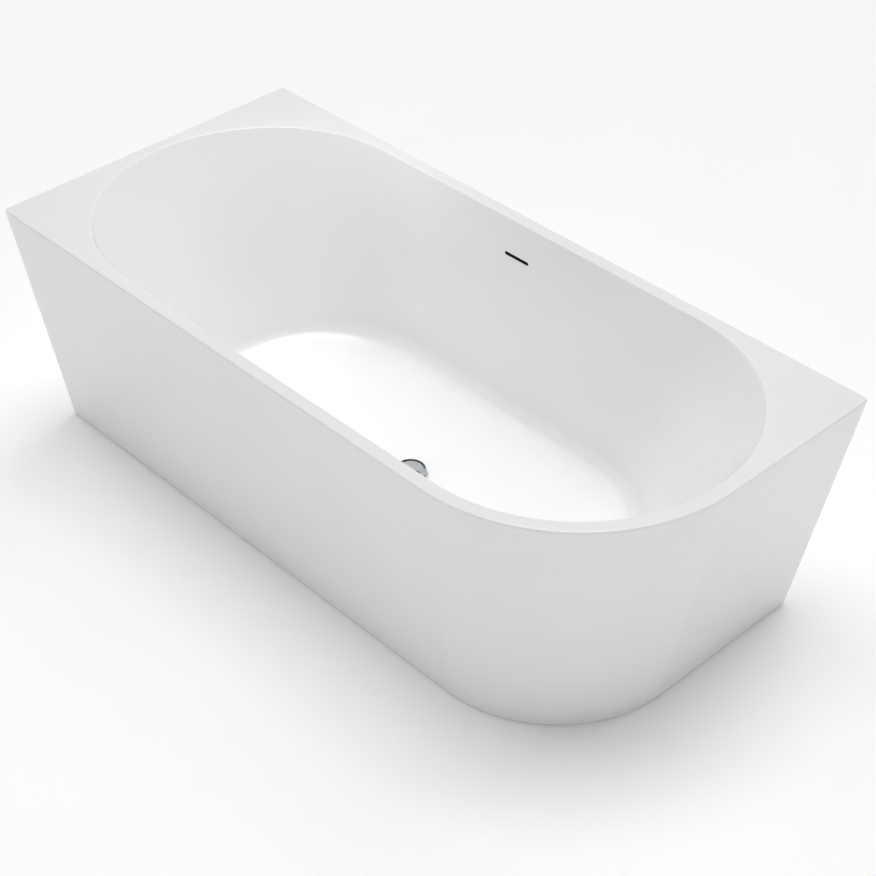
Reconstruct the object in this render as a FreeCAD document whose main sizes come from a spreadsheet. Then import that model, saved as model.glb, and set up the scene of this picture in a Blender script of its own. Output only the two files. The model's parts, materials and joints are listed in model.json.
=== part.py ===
"""Skirted acrylic bath for a room corner, as an assembly of separate pieces.

Frame: +X along the length, +Y towards the long wall, +Z up, millimetres. The origin is on the floor,
under the middle of the rim, so the waste stands on the Z axis.
"""
import FreeCAD, Part
import math
import os
import re

import Sketcher

SIZES = {
    # outside
    "bath_length": 1700,
    "bath_width": 780,
    "bath_height": 600,
    "front_inset": 93,
    "end_inset": 125,
    "rim_corner_radius": 390,
    "base_corner_radius": 302,
    "upright_edge_radius": 8,
    "floor_gap": 2,
    # shells
    "sheet": 5,
    "rim_width": 30,
    "rim_edge_radius": 4,
    "basin_laminate_depth": 4,
    "skirt_laminate_depth": 3,
    "laminate_setback": 12,
    "flange_width": 14,
    "wall_spare": 0.2,
    # basin
    "floor_height": 145,
    "floor_fall": 3,
    "floor_radius": 300,
    "floor_centre_left": 298,
    "floor_centre_right": 250,
    "floor_bend_radius": 50,
    "fall_centre_radius": 60,
    "fall_centre_half": 10,
    # service cut-out in the back of the skirt
    "cutout_left": 170,
    "cutout_right": 130,
    "cutout_height": 130,
    # overflow slot
    "slot_offset": 34,
    "slot_height": 517,
    "slot_length": 70,
    "slot_width": 8,
    # board, bars and battens
    "board_left": 500,
    "board_right": 450,
    "board_half_width": 200,
    "board_depth": 16,
    "board_hole_radius": 50,
    "bar_left": 440,
    "bar_right": 390,
    "bar_front": 262,
    "bar_back": 352,
    "bar_width": 40,
    "bar_depth": 25,
    "steel": 2,
    "batten_low": 60,
    "batten_top": 130,
    "batten_depth": 18,
    "batten_front_face": 282,
    "bar_screw_outer": 160,
    "bar_screw_inner": 56,
    "bracket_width": 30,
    "bracket_foot": 17,
    "bracket_drop": 44,
    "bracket_hole_gap": 0.1,
    "bar_hole_gap": 0.3,
    "stud_hole_gap": 0.6,
    "screw_radius": 2.2,
    "screw_length": 13,
    "screw_head_radius": 4.5,
    "screw_head_depth": 3,
    # feet
    "foot_front": 235,
    "foot_back": 300,
    "foot_radius": 26,
    "foot_rim_height": 5,
    "foot_height": 18,
    "foot_neck_radius": 11.8,
    "stud_radius": 5.9,
    "stud_top": 130,
    "stud_seat": 6,
    "thread_gap": 0.06,
    "hex_radius": 9.8,
    "hex_depth": 6,
    "nut_across_corners": 22,
    "weld_nut_depth": 12,
    "lock_nut_depth": 7,
    # waste
    "recess_radius": 37,
    "recess_depth": 3,
    "waste_hole_radius": 26,
    "waste_rim_radius": 34,
    "waste_rim_height": 3,
    "waste_tube_radius": 25,
    "waste_tube_length": 33,
    "waste_bore_radius": 20.5,
    "plug_bore_radius": 22.5,
    "guide_ledge": 17,
    "cap_radius": 35,
    "cap_depth": 6,
    "cap_boss_radius": 8,
    "cap_boss_depth": 3.3,
    "plug_seal_depth": 4,
    "plug_travel": 10,
    "stem_radius": 4,
    "guide_depth": 5,
    "guide_arm_half": 1.5,
    "hub_depth": 14,
    "spring_wire_radius": 0.6,
    "spring_radius": 6.2,
    "spring_turns": 5,
    "top_gasket": 1,
    "bottom_gasket": 4,
    "body_flange": 4,
    "body_wall": 4,
    "close_fit": 0.05,
    "stem_gap": 0.08,
    "seal_gap": 0.1,
    "inlet_height": 103,
    # trap and outlet
    "trap_joint": 87,
    "trap_dip": 17,
    "trap_wall": 3,
    "washer": 1.5,
    "dip_tube_radius": 18.8,
    "dip_tube_wall": 2,
    "cup_low": 5,
    "cup_radius": 46,
    "stub_root": 36,
    "stub_end": 88,
    "outlet_nut_radius": 28.5,
    "outlet_height": 55,
    "pipe_radius": 19.4,
    "pipe_wall": 2,
    "stub_wall": 4,
    "pipe_end": 388,
    "spigot_radius": 20,
    "spigot_length": 50,
    # overflow hose
    "hose_line": 367,
    "hose_radius": 12,
    "hose_bore_radius": 9.5,
    "hose_top": 452,
    "hose_end": 45,
    "hose_bend_radius": 110,
    "barb_wall": 2,
    "barb_gap": 0.2,
    "barb_length": 15,
    "clip_half": 4.5,
    "clip_band": 1.1,
    "clip_screw": 7,
    "box_low": 455,
    "box_top": 540,
    "box_back": 379,
    "box_half_width": 47,
    "box_wall": 3,
    "overflow_gasket": 1.5,
}

doc = FreeCAD.newDocument("CornerBath")
sheet = doc.addObject("Spreadsheet::Sheet", "Sizes")
for row, (alias, size) in enumerate(SIZES.items(), start=1):
    sheet.set(f"A{row}", alias)
    sheet.set(f"B{row}", str(size))
    sheet.setAlias(f"B{row}", alias)
doc.recompute()

parts = []


# ---------------------------------------------------------------- expressions

def linked(text):
    """An expression with each size's name turned into a reference to its cell."""
    return re.sub(r"[a-z]\w+", lambda word: f"Sizes.{word[0]}" if word[0] in SIZES else word[0], str(text))


def number(text):
    """What an expression comes to now, for the first position of a sketch's geometry."""
    return float(sheet.evalExpression(linked(text)))


SEAM = "(bath_height - sheet)"
RIM_RADIUS = "(bath_width / 2 - rim_width)"
RIM_CENTRE = f"(bath_length / 2 - rim_width - {RIM_RADIUS})"
BASIN_DEPTH = "(bath_height - floor_height)"
SIDE_SLOPE = f"(({RIM_RADIUS} - floor_radius) / {BASIN_DEPTH})"
LOW_POINT = "(floor_height - floor_fall)"
WASTE_SEAT = f"({LOW_POINT} - recess_depth)"
BOARD_TOP = f"({LOW_POINT} - sheet - basin_laminate_depth)"
BAR_TOP = f"({BOARD_TOP} - board_depth)"
WEB_UNDERSIDE = f"({BAR_TOP} - steel)"
SLOT_CENTRE = "(-slot_offset)"
HOSE_RUN = "sqrt(slot_offset ^ 2 + hose_line ^ 2)"
BARB_RADIUS = "(hose_bore_radius - barb_gap)"


def skirt_lean(height):
    """How much of its full taper the skirt has at a height: none at the seam, all at the floor."""
    return f"(({SEAM} - ({height})) / {SEAM})"


def basin_side(height):
    """Distance of the basin's side wall from the long centre line at a height."""
    return f"(floor_radius + {SIDE_SLOPE} * (({height}) - floor_height))"


# ---------------------------------------------------------------- sketches and features

def new_body(label):
    """A sub-part made as a PartDesign body; its label is the name of its file."""
    body = doc.addObject("PartDesign::Body", label)
    body.Label = label
    parts.append(body)
    return body


def new_sketch(body, name, plane="XY_Plane", level="0"):
    """An empty sketch on one of the body's own origin planes, moved along that plane's normal."""
    sketch = body.newObject("Sketcher::SketchObject", name)
    origin_plane = next(item for item in body.Origin.OriginFeatures if item.Role == plane)
    sketch.AttachmentSupport = (origin_plane, "")
    sketch.MapMode = "FlatFace"
    sketch.setExpression("AttachmentOffset.Base.z", linked(level))
    return sketch


def bind(sketch, kind, references, text):
    """A dimension that follows an expression."""
    row = sketch.addConstraint(Sketcher.Constraint(kind, *references, number(text)))
    sketch.setExpression(f"Constraints[{row}]", linked(text))


def pin(sketch, edge, end, across, along):
    """Hold one point of an edge at a place given by two expressions."""
    for kind, other_axis, text in (("DistanceX", -2, across), ("DistanceY", -1, along)):
        if abs(number(text)) < 1e-9:
            sketch.addConstraint(Sketcher.Constraint("PointOnObject", edge, end, other_axis))
        else:
            bind(sketch, kind, (-1, 1, edge, end), text)


def add_polygon(sketch, points):
    """A closed outline of straight edges between places given by expressions."""
    corners = [FreeCAD.Vector(number(across), number(along), 0) for across, along in points]
    first = sketch.GeometryCount
    count = len(corners)
    for index, corner in enumerate(corners):
        sketch.addGeometry(Part.LineSegment(corner, corners[(index + 1) % count]))
    for index in range(count):
        following = first + (index + 1) % count
        sketch.addConstraint(Sketcher.Constraint("Coincident", first + index, 2, following, 1))
    for index, (across, along) in enumerate(points):
        pin(sketch, first + index, 1, across, along)


def add_circle(sketch, across, along, radius):
    """A circle with its centre and radius given by expressions."""
    centre = FreeCAD.Vector(number(across), number(along), 0)
    edge = sketch.addGeometry(Part.Circle(centre, FreeCAD.Vector(0, 0, 1), number(radius)))
    bind(sketch, "Radius", (edge,), radius)
    pin(sketch, edge, 3, across, along)


def corner_arc(across, along, radius, quarter):
    """A quarter circle that runs counter-clockwise from quarter x 90 degrees."""
    circle = Part.Circle(FreeCAD.Vector(across, along, 0), FreeCAD.Vector(0, 0, 1), radius)
    return Part.ArcOfCircle(circle, quarter * math.pi / 2, (quarter + 1) * math.pi / 2)


def add_round_ended(sketch, left, right, level, radius):
    """A slot-shaped outline: two straight sides, and round ends centred at left and right."""
    x_left, x_right, y_mid, size = number(left), number(right), number(level), number(radius)
    up = FreeCAD.Vector(0, 0, 1)
    right_circle = Part.Circle(FreeCAD.Vector(x_right, y_mid, 0), up, size)
    left_circle = Part.Circle(FreeCAD.Vector(x_left, y_mid, 0), up, size)
    sketch.addGeometry(Part.LineSegment(FreeCAD.Vector(x_left, y_mid + size, 0),
                                        FreeCAD.Vector(x_right, y_mid + size, 0)))
    sketch.addGeometry(Part.ArcOfCircle(right_circle, -math.pi / 2, math.pi / 2))
    sketch.addGeometry(Part.LineSegment(FreeCAD.Vector(x_right, y_mid - size, 0),
                                        FreeCAD.Vector(x_left, y_mid - size, 0)))
    sketch.addGeometry(Part.ArcOfCircle(left_circle, math.pi / 2, 3 * math.pi / 2))
    for ends in ((0, 2, 1, 2), (1, 1, 2, 1), (2, 2, 3, 2), (3, 1, 0, 1)):
        sketch.addConstraint(Sketcher.Constraint("Tangent", *ends))
    bind(sketch, "Radius", (1,), radius)
    sketch.addConstraint(Sketcher.Constraint("Equal", 1, 3))
    pin(sketch, 1, 3, right, level)
    pin(sketch, 3, 3, left, level)


def basin_sketch(body, name, height, offset):
    """The basin's outline at a height, grown outwards by an offset."""
    rise = f"((({height}) - floor_height) / {BASIN_DEPTH})"
    left = f"-(floor_centre_left + ({RIM_CENTRE} - floor_centre_left) * {rise})"
    right = f"floor_centre_right + ({RIM_CENTRE} - floor_centre_right) * {rise}"
    sketch = new_sketch(body, name, level=height)
    add_round_ended(sketch, left, right, "0", f"{basin_side(height)} + ({offset})")
    return sketch


def skirt_sketch(body, name, height, inset, spare="0"):
    """The skirt's outline at a height, inset on all four sides, with some to spare at the two room walls."""
    left = f"-bath_length / 2 + {inset} - {spare}"
    right = f"bath_length / 2 - end_inset * {skirt_lean(height)} - {inset}"
    front = f"-bath_width / 2 + front_inset * {skirt_lean(height)} + {inset}"
    back = f"bath_width / 2 - {inset} + {spare}"
    big = f"(rim_corner_radius + (base_corner_radius - rim_corner_radius) * {skirt_lean(height)} - {inset})"
    small = f"max(upright_edge_radius - {inset}; 1)"
    x0, x1, y0, y1, large, tight = (number(text) for text in (left, right, front, back, big, small))
    sketch = new_sketch(body, name, level=height)
    corners = [(x1 - large, y0 + large, large, 3), (x1 - tight, y1 - tight, tight, 0),
               (x0 + tight, y1 - tight, tight, 1), (x0 + tight, y0 + tight, tight, 2)]
    arcs = [corner_arc(*corner) for corner in corners]
    for index, arc in enumerate(arcs):
        sketch.addGeometry(Part.LineSegment(arcs[index - 1].EndPoint, arc.StartPoint))
        sketch.addGeometry(arc)
    for line in range(0, 8, 2):
        sketch.addConstraint(Sketcher.Constraint("Tangent", line, 2, line + 1, 1))
        sketch.addConstraint(Sketcher.Constraint("Tangent", line + 1, 2, (line + 2) % 8, 1))
        sketch.addConstraint(Sketcher.Constraint("Vertical" if line % 4 else "Horizontal", line))
        bind(sketch, "Radius", (line + 1,), big if line == 0 else small)
    for line, kind, text in ((0, "DistanceY", front), (2, "DistanceX", right),
                             (4, "DistanceY", back), (6, "DistanceX", left)):
        bind(sketch, kind, (-1, 1, line, 1), text)
    return sketch


def loft(body, kind, *sections):
    """A ruled loft through sketches, kind being Additive or Subtractive."""
    feature = body.newObject(f"PartDesign::{kind}Loft", f"{sections[0].Name}_loft")
    feature.Profile = sections[0]
    feature.Sections = list(sections[1:])
    feature.Ruled = True
    return feature


def pad(body, sketch, length):
    """A sketch extruded along its normal."""
    feature = body.newObject("PartDesign::Pad", f"{sketch.Name}_pad")
    feature.Profile = sketch
    feature.setExpression("Length", linked(length))
    return feature


def cut(body, sketch, length, along_normal=False):
    """A sketch cut out of the body, against its normal unless along_normal is set."""
    doc.recompute()
    before = body.Shape.Volume
    feature = body.newObject("PartDesign::Pocket", f"{sketch.Name}_cut")
    feature.Profile = sketch
    feature.Reversed = along_normal
    feature.setExpression("Length", linked(length))
    doc.recompute()
    if body.Shape.Volume >= before:
        raise RuntimeError(f"{feature.Name} cuts nothing")
    return feature


def revolve(body, points, name="profile"):
    """A closed outline in radius and height, turned once about the body's own Z axis."""
    sketch = new_sketch(body, f"{body.Name}_{name}", "XZ_Plane")
    add_polygon(sketch, points)
    feature = body.newObject("PartDesign::Revolution", f"{sketch.Name}_turn")
    feature.Profile = sketch
    feature.ReferenceAxis = (sketch, ["V_Axis"])
    feature.Angle = 360
    return feature


def round_edges(body, radius, chosen):
    """Round those edges of the body for which chosen(edge) is true."""
    doc.recompute()
    tip = body.Tip
    names = [f"Edge{index}" for index, edge in enumerate(tip.Shape.Edges, start=1) if chosen(edge)]
    feature = body.newObject("PartDesign::Fillet", f"{body.Name}_round")
    feature.Base = (tip, names)
    feature.setExpression("Radius", linked(radius))
    return feature


def lies_at(edge, height):
    """True for an edge that lies flat at a height."""
    box = edge.BoundBox
    return abs(box.ZMin - height) < 0.01 and abs(box.ZMax - height) < 0.01


def place(part, across="0", along="0", up="0", turn=None):
    """Set the sub-part down at a place given by expressions, turned about Z if asked."""
    for axis, text in zip("xyz", (across, along, up)):
        part.setExpression(f"Placement.Base.{axis}", linked(text))
    if turn:
        part.setExpression("Placement.Rotation.Angle", linked(turn))


def ring(label, inner, outer, low, high, **where):
    """A plain ring: washer, gasket or collar."""
    body = new_body(label)
    revolve(body, [(inner, low), (outer, low), (outer, high), (inner, high)])
    place(body, **where)
    return body


def bar_of(label, plane, points, start, length):
    """A straight extrusion of an outline drawn on an origin plane."""
    body = new_body(label)
    sketch = new_sketch(body, f"{label}_outline", plane, start)
    add_polygon(sketch, points)
    pad(body, sketch, length)
    return body


def fasteners(label, pieces):
    """Identical small fasteners that share one node as separate solids."""
    group = doc.addObject("Part::Compound", label)
    group.Label = label
    group.Links = pieces
    parts.append(group)


# ---------------------------------------------------------------- acrylic shells and their backing

def add_floor_fall(body, kind, low, name):
    """The shallow dish between the flat of the floor and the waste."""
    flat = new_sketch(body, f"{name}_edge", level=low)
    inner_radius = "floor_radius - floor_bend_radius - sheet"
    add_round_ended(flat, "-floor_centre_left", "floor_centre_right", "0", inner_radius)
    centre = new_sketch(body, f"{name}_centre", level=f"({low}) - floor_fall")
    add_round_ended(centre, "-fall_centre_half", "fall_centre_half", "0", "fall_centre_radius")
    loft(body, kind, flat, centre)


def make_tub_shell():
    """Basin and rim deck, vacuum-formed from one sheet."""
    body = new_body("tub_shell")
    pad(body, skirt_sketch(body, "deck", SEAM, "0"), "sheet")
    underside = "floor_height - sheet"
    loft(body, "Additive", basin_sketch(body, "outer_floor", underside, "sheet"),
         basin_sketch(body, "outer_mouth", f"{SEAM} + sheet / 2", "sheet"))
    loft(body, "Subtractive", basin_sketch(body, "inner_floor", "floor_height", "0"),
         basin_sketch(body, "inner_mouth", "bath_height", "0"))
    round_edges(body, "floor_bend_radius", lambda edge: lies_at(edge, number("floor_height")))
    round_edges(body, "floor_bend_radius + sheet", lambda edge: lies_at(edge, number(underside)))
    add_floor_fall(body, "Additive", underside, "underside")
    boss = new_sketch(body, "recess_boss", level=f"{WASTE_SEAT} - sheet")
    add_circle(boss, "0", "0", "recess_radius + sheet")
    pad(body, boss, "recess_depth + sheet / 2")
    add_floor_fall(body, "Subtractive", "floor_height", "fall")
    recess = new_sketch(body, "recess", level=WASTE_SEAT)
    add_circle(recess, "0", "0", "recess_radius")
    cut(body, recess, "recess_depth + 1", along_normal=True)
    hole = new_sketch(body, "waste_hole", level=f"{WASTE_SEAT} + 1")
    add_circle(hole, "0", "0", "waste_hole_radius")
    cut(body, hole, "sheet + 2")
    round_edges(body, "rim_edge_radius", lambda edge: lies_at(edge, number("bath_height")))
    cut_overflow_slot(body, "0")


def cut_overflow_slot(body, margin):
    """The slot through the back wall, larger by a margin all round."""
    slot = new_sketch(body, f"{body.Name}_slot", "XZ_Plane", f"-{RIM_RADIUS} + rim_width")
    half = "(slot_length - slot_width) / 2"
    add_round_ended(slot, f"{SLOT_CENTRE} - {half}", f"{SLOT_CENTRE} + {half}", "slot_height",
                    f"slot_width / 2 + {margin}")
    cut(body, slot, "rim_width * 2")


def make_basin_laminate():
    """Glass-fibre backing of the basin, with a flat underside for the board."""
    body = new_body("basin_laminate")
    outside = "(sheet + basin_laminate_depth)"
    crown = f"{SEAM} - laminate_setback"
    loft(body, "Additive", basin_sketch(body, "backing_floor", BOARD_TOP, outside),
         basin_sketch(body, "backing_top", crown, outside))
    loft(body, "Subtractive", basin_sketch(body, "hollow_floor", "floor_height - sheet", "sheet"),
         basin_sketch(body, "hollow_top", crown, "sheet"))
    round_edges(body, "floor_bend_radius + sheet", lambda edge: lies_at(edge, number("floor_height - sheet")))
    round_edges(body, f"floor_bend_radius + {outside}", lambda edge: lies_at(edge, number(BOARD_TOP)))
    add_floor_fall(body, "Subtractive", "floor_height - sheet", "backing_fall")
    hole = new_sketch(body, "boss_hole", level="floor_height")
    add_circle(hole, "0", "0", "recess_radius + sheet + 1")
    cut(body, hole, "floor_height")
    cut_overflow_slot(body, "2")


def trim_to_walls(body):
    """Leave a true plane on each of the two sides that stand against the room's walls."""
    trim = new_sketch(body, "wall_trim")
    left, right = "-bath_length / 2", "bath_length / 2 + sheet"
    front, back = "-bath_width / 2 - sheet", "bath_width / 2"
    add_polygon(trim, [(f"{left} - sheet", front), (left, front), (left, back), (right, back),
                       (right, f"{back} + sheet"), (f"{left} - sheet", f"{back} + sheet")])
    cut(body, trim, "bath_height", along_normal=True)


def make_skirt(label, inset, depth, low, high, is_outer):
    """A four-sided apron, inset from the bath's outline; the outer one has a flange and meets the walls."""
    body = new_body(label)
    spare = "wall_spare" if is_outer else "0"
    loft(body, "Additive", skirt_sketch(body, f"{label}_foot", low, inset, spare),
         skirt_sketch(body, f"{label}_head", high, inset, spare))
    if is_outer:
        trim_to_walls(body)
    within = f"({inset} + {depth})"
    ceiling = f"{high} - {depth}" if is_outer else high
    loft(body, "Subtractive", skirt_sketch(body, f"{label}_inner_foot", low, within),
         skirt_sketch(body, f"{label}_inner_head", ceiling, within))
    if is_outer:
        opening = skirt_sketch(body, f"{label}_opening", high, f"({within} + flange_width)")
        cut(body, opening, f"{depth} + 1")
    service = new_sketch(body, f"{label}_service", "XZ_Plane", "-bath_width / 2 - 1")
    add_polygon(service, [("-cutout_left", "-1"), ("cutout_right", "-1"),
                          ("cutout_right", "cutout_height"), ("-cutout_left", "cutout_height")])
    cut(body, service, "rim_width", along_normal=True)


# ---------------------------------------------------------------- board, battens, bars and brackets

def skirt_front(height):
    """Inner face of the skirt's front wall at a height."""
    return f"(-bath_width / 2 + front_inset * {skirt_lean(height)} + sheet + skirt_laminate_depth)"


def skirt_end(height):
    """Inner face of the skirt's right-hand wall at a height."""
    return f"(bath_length / 2 - end_inset * {skirt_lean(height)} - sheet - skirt_laminate_depth)"


SKIRT_BACK = "(bath_width / 2 - sheet - skirt_laminate_depth)"
SKIRT_LEFT = "(-bath_length / 2 + sheet + skirt_laminate_depth)"
BACK_BATTEN_FACE = f"({SKIRT_BACK} - batten_depth)"
BARS = {"left": "(-bar_left)", "right": "bar_right"}
BAR_SCREWS = ["-bar_screw_outer", "-bar_screw_inner", "bar_screw_inner", "bar_screw_outer"]
FEET = [(across, along) for across in BARS.values() for along in ("(-foot_front)", "foot_back")]


def make_base_board():
    """Board bonded under the basin floor, with an opening round the waste."""
    body = new_body("base_board")
    outline = new_sketch(body, "board_outline", level=BAR_TOP)
    add_polygon(outline, [("-board_left", "-board_half_width"), ("board_right", "-board_half_width"),
                          ("board_right", "board_half_width"), ("-board_left", "board_half_width")])
    pad(body, outline, "board_depth")
    opening = new_sketch(body, "board_opening", level=BOARD_TOP)
    add_circle(opening, "0", "0", "board_hole_radius")
    cut(body, opening, "board_depth")


def make_battens():
    """Wood strips laminated inside the skirt; those on tapered walls follow the taper."""
    front = [(skirt_front("batten_low"), "batten_low"), ("-batten_front_face", "batten_low"),
             ("-batten_front_face", "batten_top"), (skirt_front("batten_top"), "batten_top")]
    bar_of("skirt_batten_front", "YZ_Plane", front, "-bath_length / 2 + rim_width",
           "bar_right + bath_length / 2 - rim_width / 4")
    back = [(BACK_BATTEN_FACE, "batten_low"), (SKIRT_BACK, "batten_low"),
            (SKIRT_BACK, "batten_top"), (BACK_BATTEN_FACE, "batten_top")]
    bar_of("skirt_batten_back_left", "YZ_Plane", back, "-bath_length / 2 + rim_width * 2",
           "bath_length / 2 - rim_width * 3 - cutout_left")
    bar_of("skirt_batten_back_right", "YZ_Plane", back, "cutout_right + rim_width",
           "bath_length / 2 - end_inset - rim_width * 2 - cutout_right")
    left = [(SKIRT_LEFT, "batten_low"), (f"{SKIRT_LEFT} + batten_depth", "batten_low"),
            (f"{SKIRT_LEFT} + batten_depth", "batten_top"), (SKIRT_LEFT, "batten_top")]
    bar_of("skirt_batten_left", "XZ_Plane", left, "-foot_back", "foot_back + foot_front")
    right_face = f"{skirt_end('batten_low')} - batten_depth"
    right = [(right_face, "batten_low"), (skirt_end("batten_low"), "batten_low"),
             (skirt_end("batten_top"), "batten_top"), (right_face, "batten_top")]
    bar_of("skirt_batten_right", "XZ_Plane", right, "-foot_back", "foot_back - rim_width")


def make_cradle_bars():
    """Steel channels, open below, that carry the board on the feet."""
    half, inner = "bar_width / 2", "(bar_width / 2 - steel)"
    channel = [(f"-{half}", f"{BAR_TOP} - bar_depth"), (f"-{inner}", f"{BAR_TOP} - bar_depth"),
               (f"-{inner}", WEB_UNDERSIDE), (inner, WEB_UNDERSIDE), (inner, f"{BAR_TOP} - bar_depth"),
               (half, f"{BAR_TOP} - bar_depth"), (half, BAR_TOP), (f"-{half}", BAR_TOP)]
    for side, across in BARS.items():
        body = bar_of(f"cradle_bar_{side}", "XZ_Plane", channel, "-bar_back", "bar_back + bar_front")
        holes = new_sketch(body, f"bar_holes_{side}", level=f"{BAR_TOP} + 1")
        for along in ("-foot_front", "foot_back"):
            add_circle(holes, "0", along, "stud_radius + stud_hole_gap")
        for along in BAR_SCREWS:
            add_circle(holes, "0", along, "screw_radius + bar_hole_gap")
        cut(body, holes, "steel * 1.75")
        place(body, across)


def round_screw(name, across, along, up, axis):
    """A pan-headed screw whose head seats at the given place and whose shank points along an axis."""
    screw = doc.addObject("Part::Fuse", name)
    head = doc.addObject("Part::Cylinder", f"{name}_head")
    shank = doc.addObject("Part::Cylinder", f"{name}_shank")
    head.setExpression("Radius", linked("screw_head_radius"))
    head.setExpression("Height", linked("screw_head_depth"))
    shank.setExpression("Radius", linked("screw_radius"))
    shank.setExpression("Height", linked("screw_head_depth + screw_length"))
    screw.Base = head
    screw.Tool = shank
    screw.Placement.Rotation = FreeCAD.Rotation(FreeCAD.Vector(0, 0, 1), FreeCAD.Vector(*axis))
    place(screw, across, along, up)
    return screw


def make_bar_screws():
    """Screws from inside each bar up into the board."""
    seat = f"{WEB_UNDERSIDE} - screw_head_depth"
    screws = []
    for side, across in BARS.items():
        for index, along in enumerate(BAR_SCREWS):
            screws.append(round_screw(f"bar_screw_{side}_{index}", across, along, seat, (0, 0, 1)))
    fasteners("bar_screws", screws)


def make_brackets():
    """Bent steel strips from each end of each bar down the face of the batten there, and their screws."""
    ends = {"front": ("(-batten_front_face)", 1), "back": (BACK_BATTEN_FACE, -1)}
    screws = []
    for index, (side, end) in enumerate(((side, end) for side in BARS for end in ends), start=1):
        face, inward = ends[end]
        tip = "-bar_front + bracket_foot" if end == "front" else "bar_back - bracket_foot"
        top = f"{BAR_TOP} + steel"
        low = f"{BAR_TOP} - bracket_drop"
        screw_level = f"{BAR_TOP} - bracket_drop / 2"
        strip = [(face, low), (f"{face} + steel * {inward}", low), (f"{face} + steel * {inward}", BAR_TOP),
                 (tip, BAR_TOP), (tip, top), (face, top)]
        body = bar_of(f"skirt_bracket_{index}", "YZ_Plane", strip, "-bracket_width / 2", "bracket_width")
        holes = new_sketch(body, f"bracket_holes_{index}", "XZ_Plane", f"-({face} + {inward})")
        for shift in (-1, 1):
            across = f"bracket_width / 4 * {shift}"
            add_circle(holes, across, screw_level, "screw_radius + bracket_hole_gap")
        bore = body.newObject("PartDesign::Pocket", f"bracket_bores_{index}")
        bore.Profile = holes
        bore.Midplane = True
        bore.setExpression("Length", linked("steel * 3"))
        place(body, BARS[side])
        for shift in (-1, 1):
            across = f"{BARS[side]} + bracket_width / 4 * {shift}"
            along = f"{face} + {inward} * (steel + screw_head_depth)"
            name = f"bracket_screw_{index}_{shift + 1}"
            screws.append(round_screw(name, across, along, screw_level, (0, -inward, 0)))
    fasteners("bracket_screws", screws)


# ---------------------------------------------------------------- feet

def hexagon_nut(name, across, along, low, depth):
    """A hexagon nut whose bore runs clear of the stud's thread."""
    nut = doc.addObject("Part::Cut", name)
    block = doc.addObject("Part::Prism", f"{name}_block")
    bore = doc.addObject("Part::Cylinder", f"{name}_bore")
    block.Polygon = 6
    block.setExpression("Circumradius", linked("nut_across_corners / 2"))
    block.setExpression("Height", linked(depth))
    bore.setExpression("Radius", linked("stud_radius + thread_gap"))
    bore.setExpression("Height", linked(depth))
    nut.Base = block
    nut.Tool = bore
    place(nut, across, along, low)
    return nut


def make_feet():
    """Four levelling feet: a pad, a stud that turns in it, and the two nuts on each stud."""
    weld_low = f"({WEB_UNDERSIDE} - weld_nut_depth)"
    lock_low = f"({weld_low} - lock_nut_depth)"
    half_flats = "(hex_radius * sqrt(3) / 2)"
    hexagon = [("hex_radius", "0"), ("hex_radius / 2", half_flats),
               ("-hex_radius / 2", half_flats), ("-hex_radius", "0"),
               ("-hex_radius / 2", f"-{half_flats}"), ("hex_radius / 2", f"-{half_flats}")]
    weld_nuts = []
    lock_nuts = []
    for index, (across, along) in enumerate(FEET, start=1):
        pad_body = new_body(f"foot_pad_{index}")
        bore = "stud_radius + thread_gap"
        revolve(pad_body, [("0", "0"), ("foot_radius - 1", "0"), ("foot_radius", "1"),
                           ("foot_radius", "foot_rim_height"), ("foot_radius - 2", "foot_rim_height + 2"),
                           ("foot_neck_radius + 1.2", "foot_rim_height + 6"),
                           ("foot_neck_radius", "foot_height"), (bore, "foot_height"),
                           (bore, "stud_seat"), ("0", "stud_seat")])
        place(pad_body, across, along)
        stud = new_body(f"foot_stud_{index}")
        revolve(stud, [("0", "stud_seat"), ("stud_radius - 1", "stud_seat"), ("stud_radius", "stud_seat + 1"),
                       ("stud_radius", "stud_top - 1"), ("stud_radius - 1", "stud_top"), ("0", "stud_top")])
        collar = new_sketch(stud, f"collar_{index}", level="foot_height + 1")
        add_polygon(collar, hexagon)
        pad(stud, collar, "hex_depth")
        place(stud, across, along)
        weld_nuts.append(hexagon_nut(f"weld_nut_{index}", across, along, weld_low, "weld_nut_depth"))
        lock_nuts.append(hexagon_nut(f"lock_nut_{index}", across, along, lock_low, "lock_nut_depth"))
    fasteners("weld_nuts", weld_nuts)
    fasteners("lock_nuts", lock_nuts)


# ---------------------------------------------------------------- waste and plug

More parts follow.
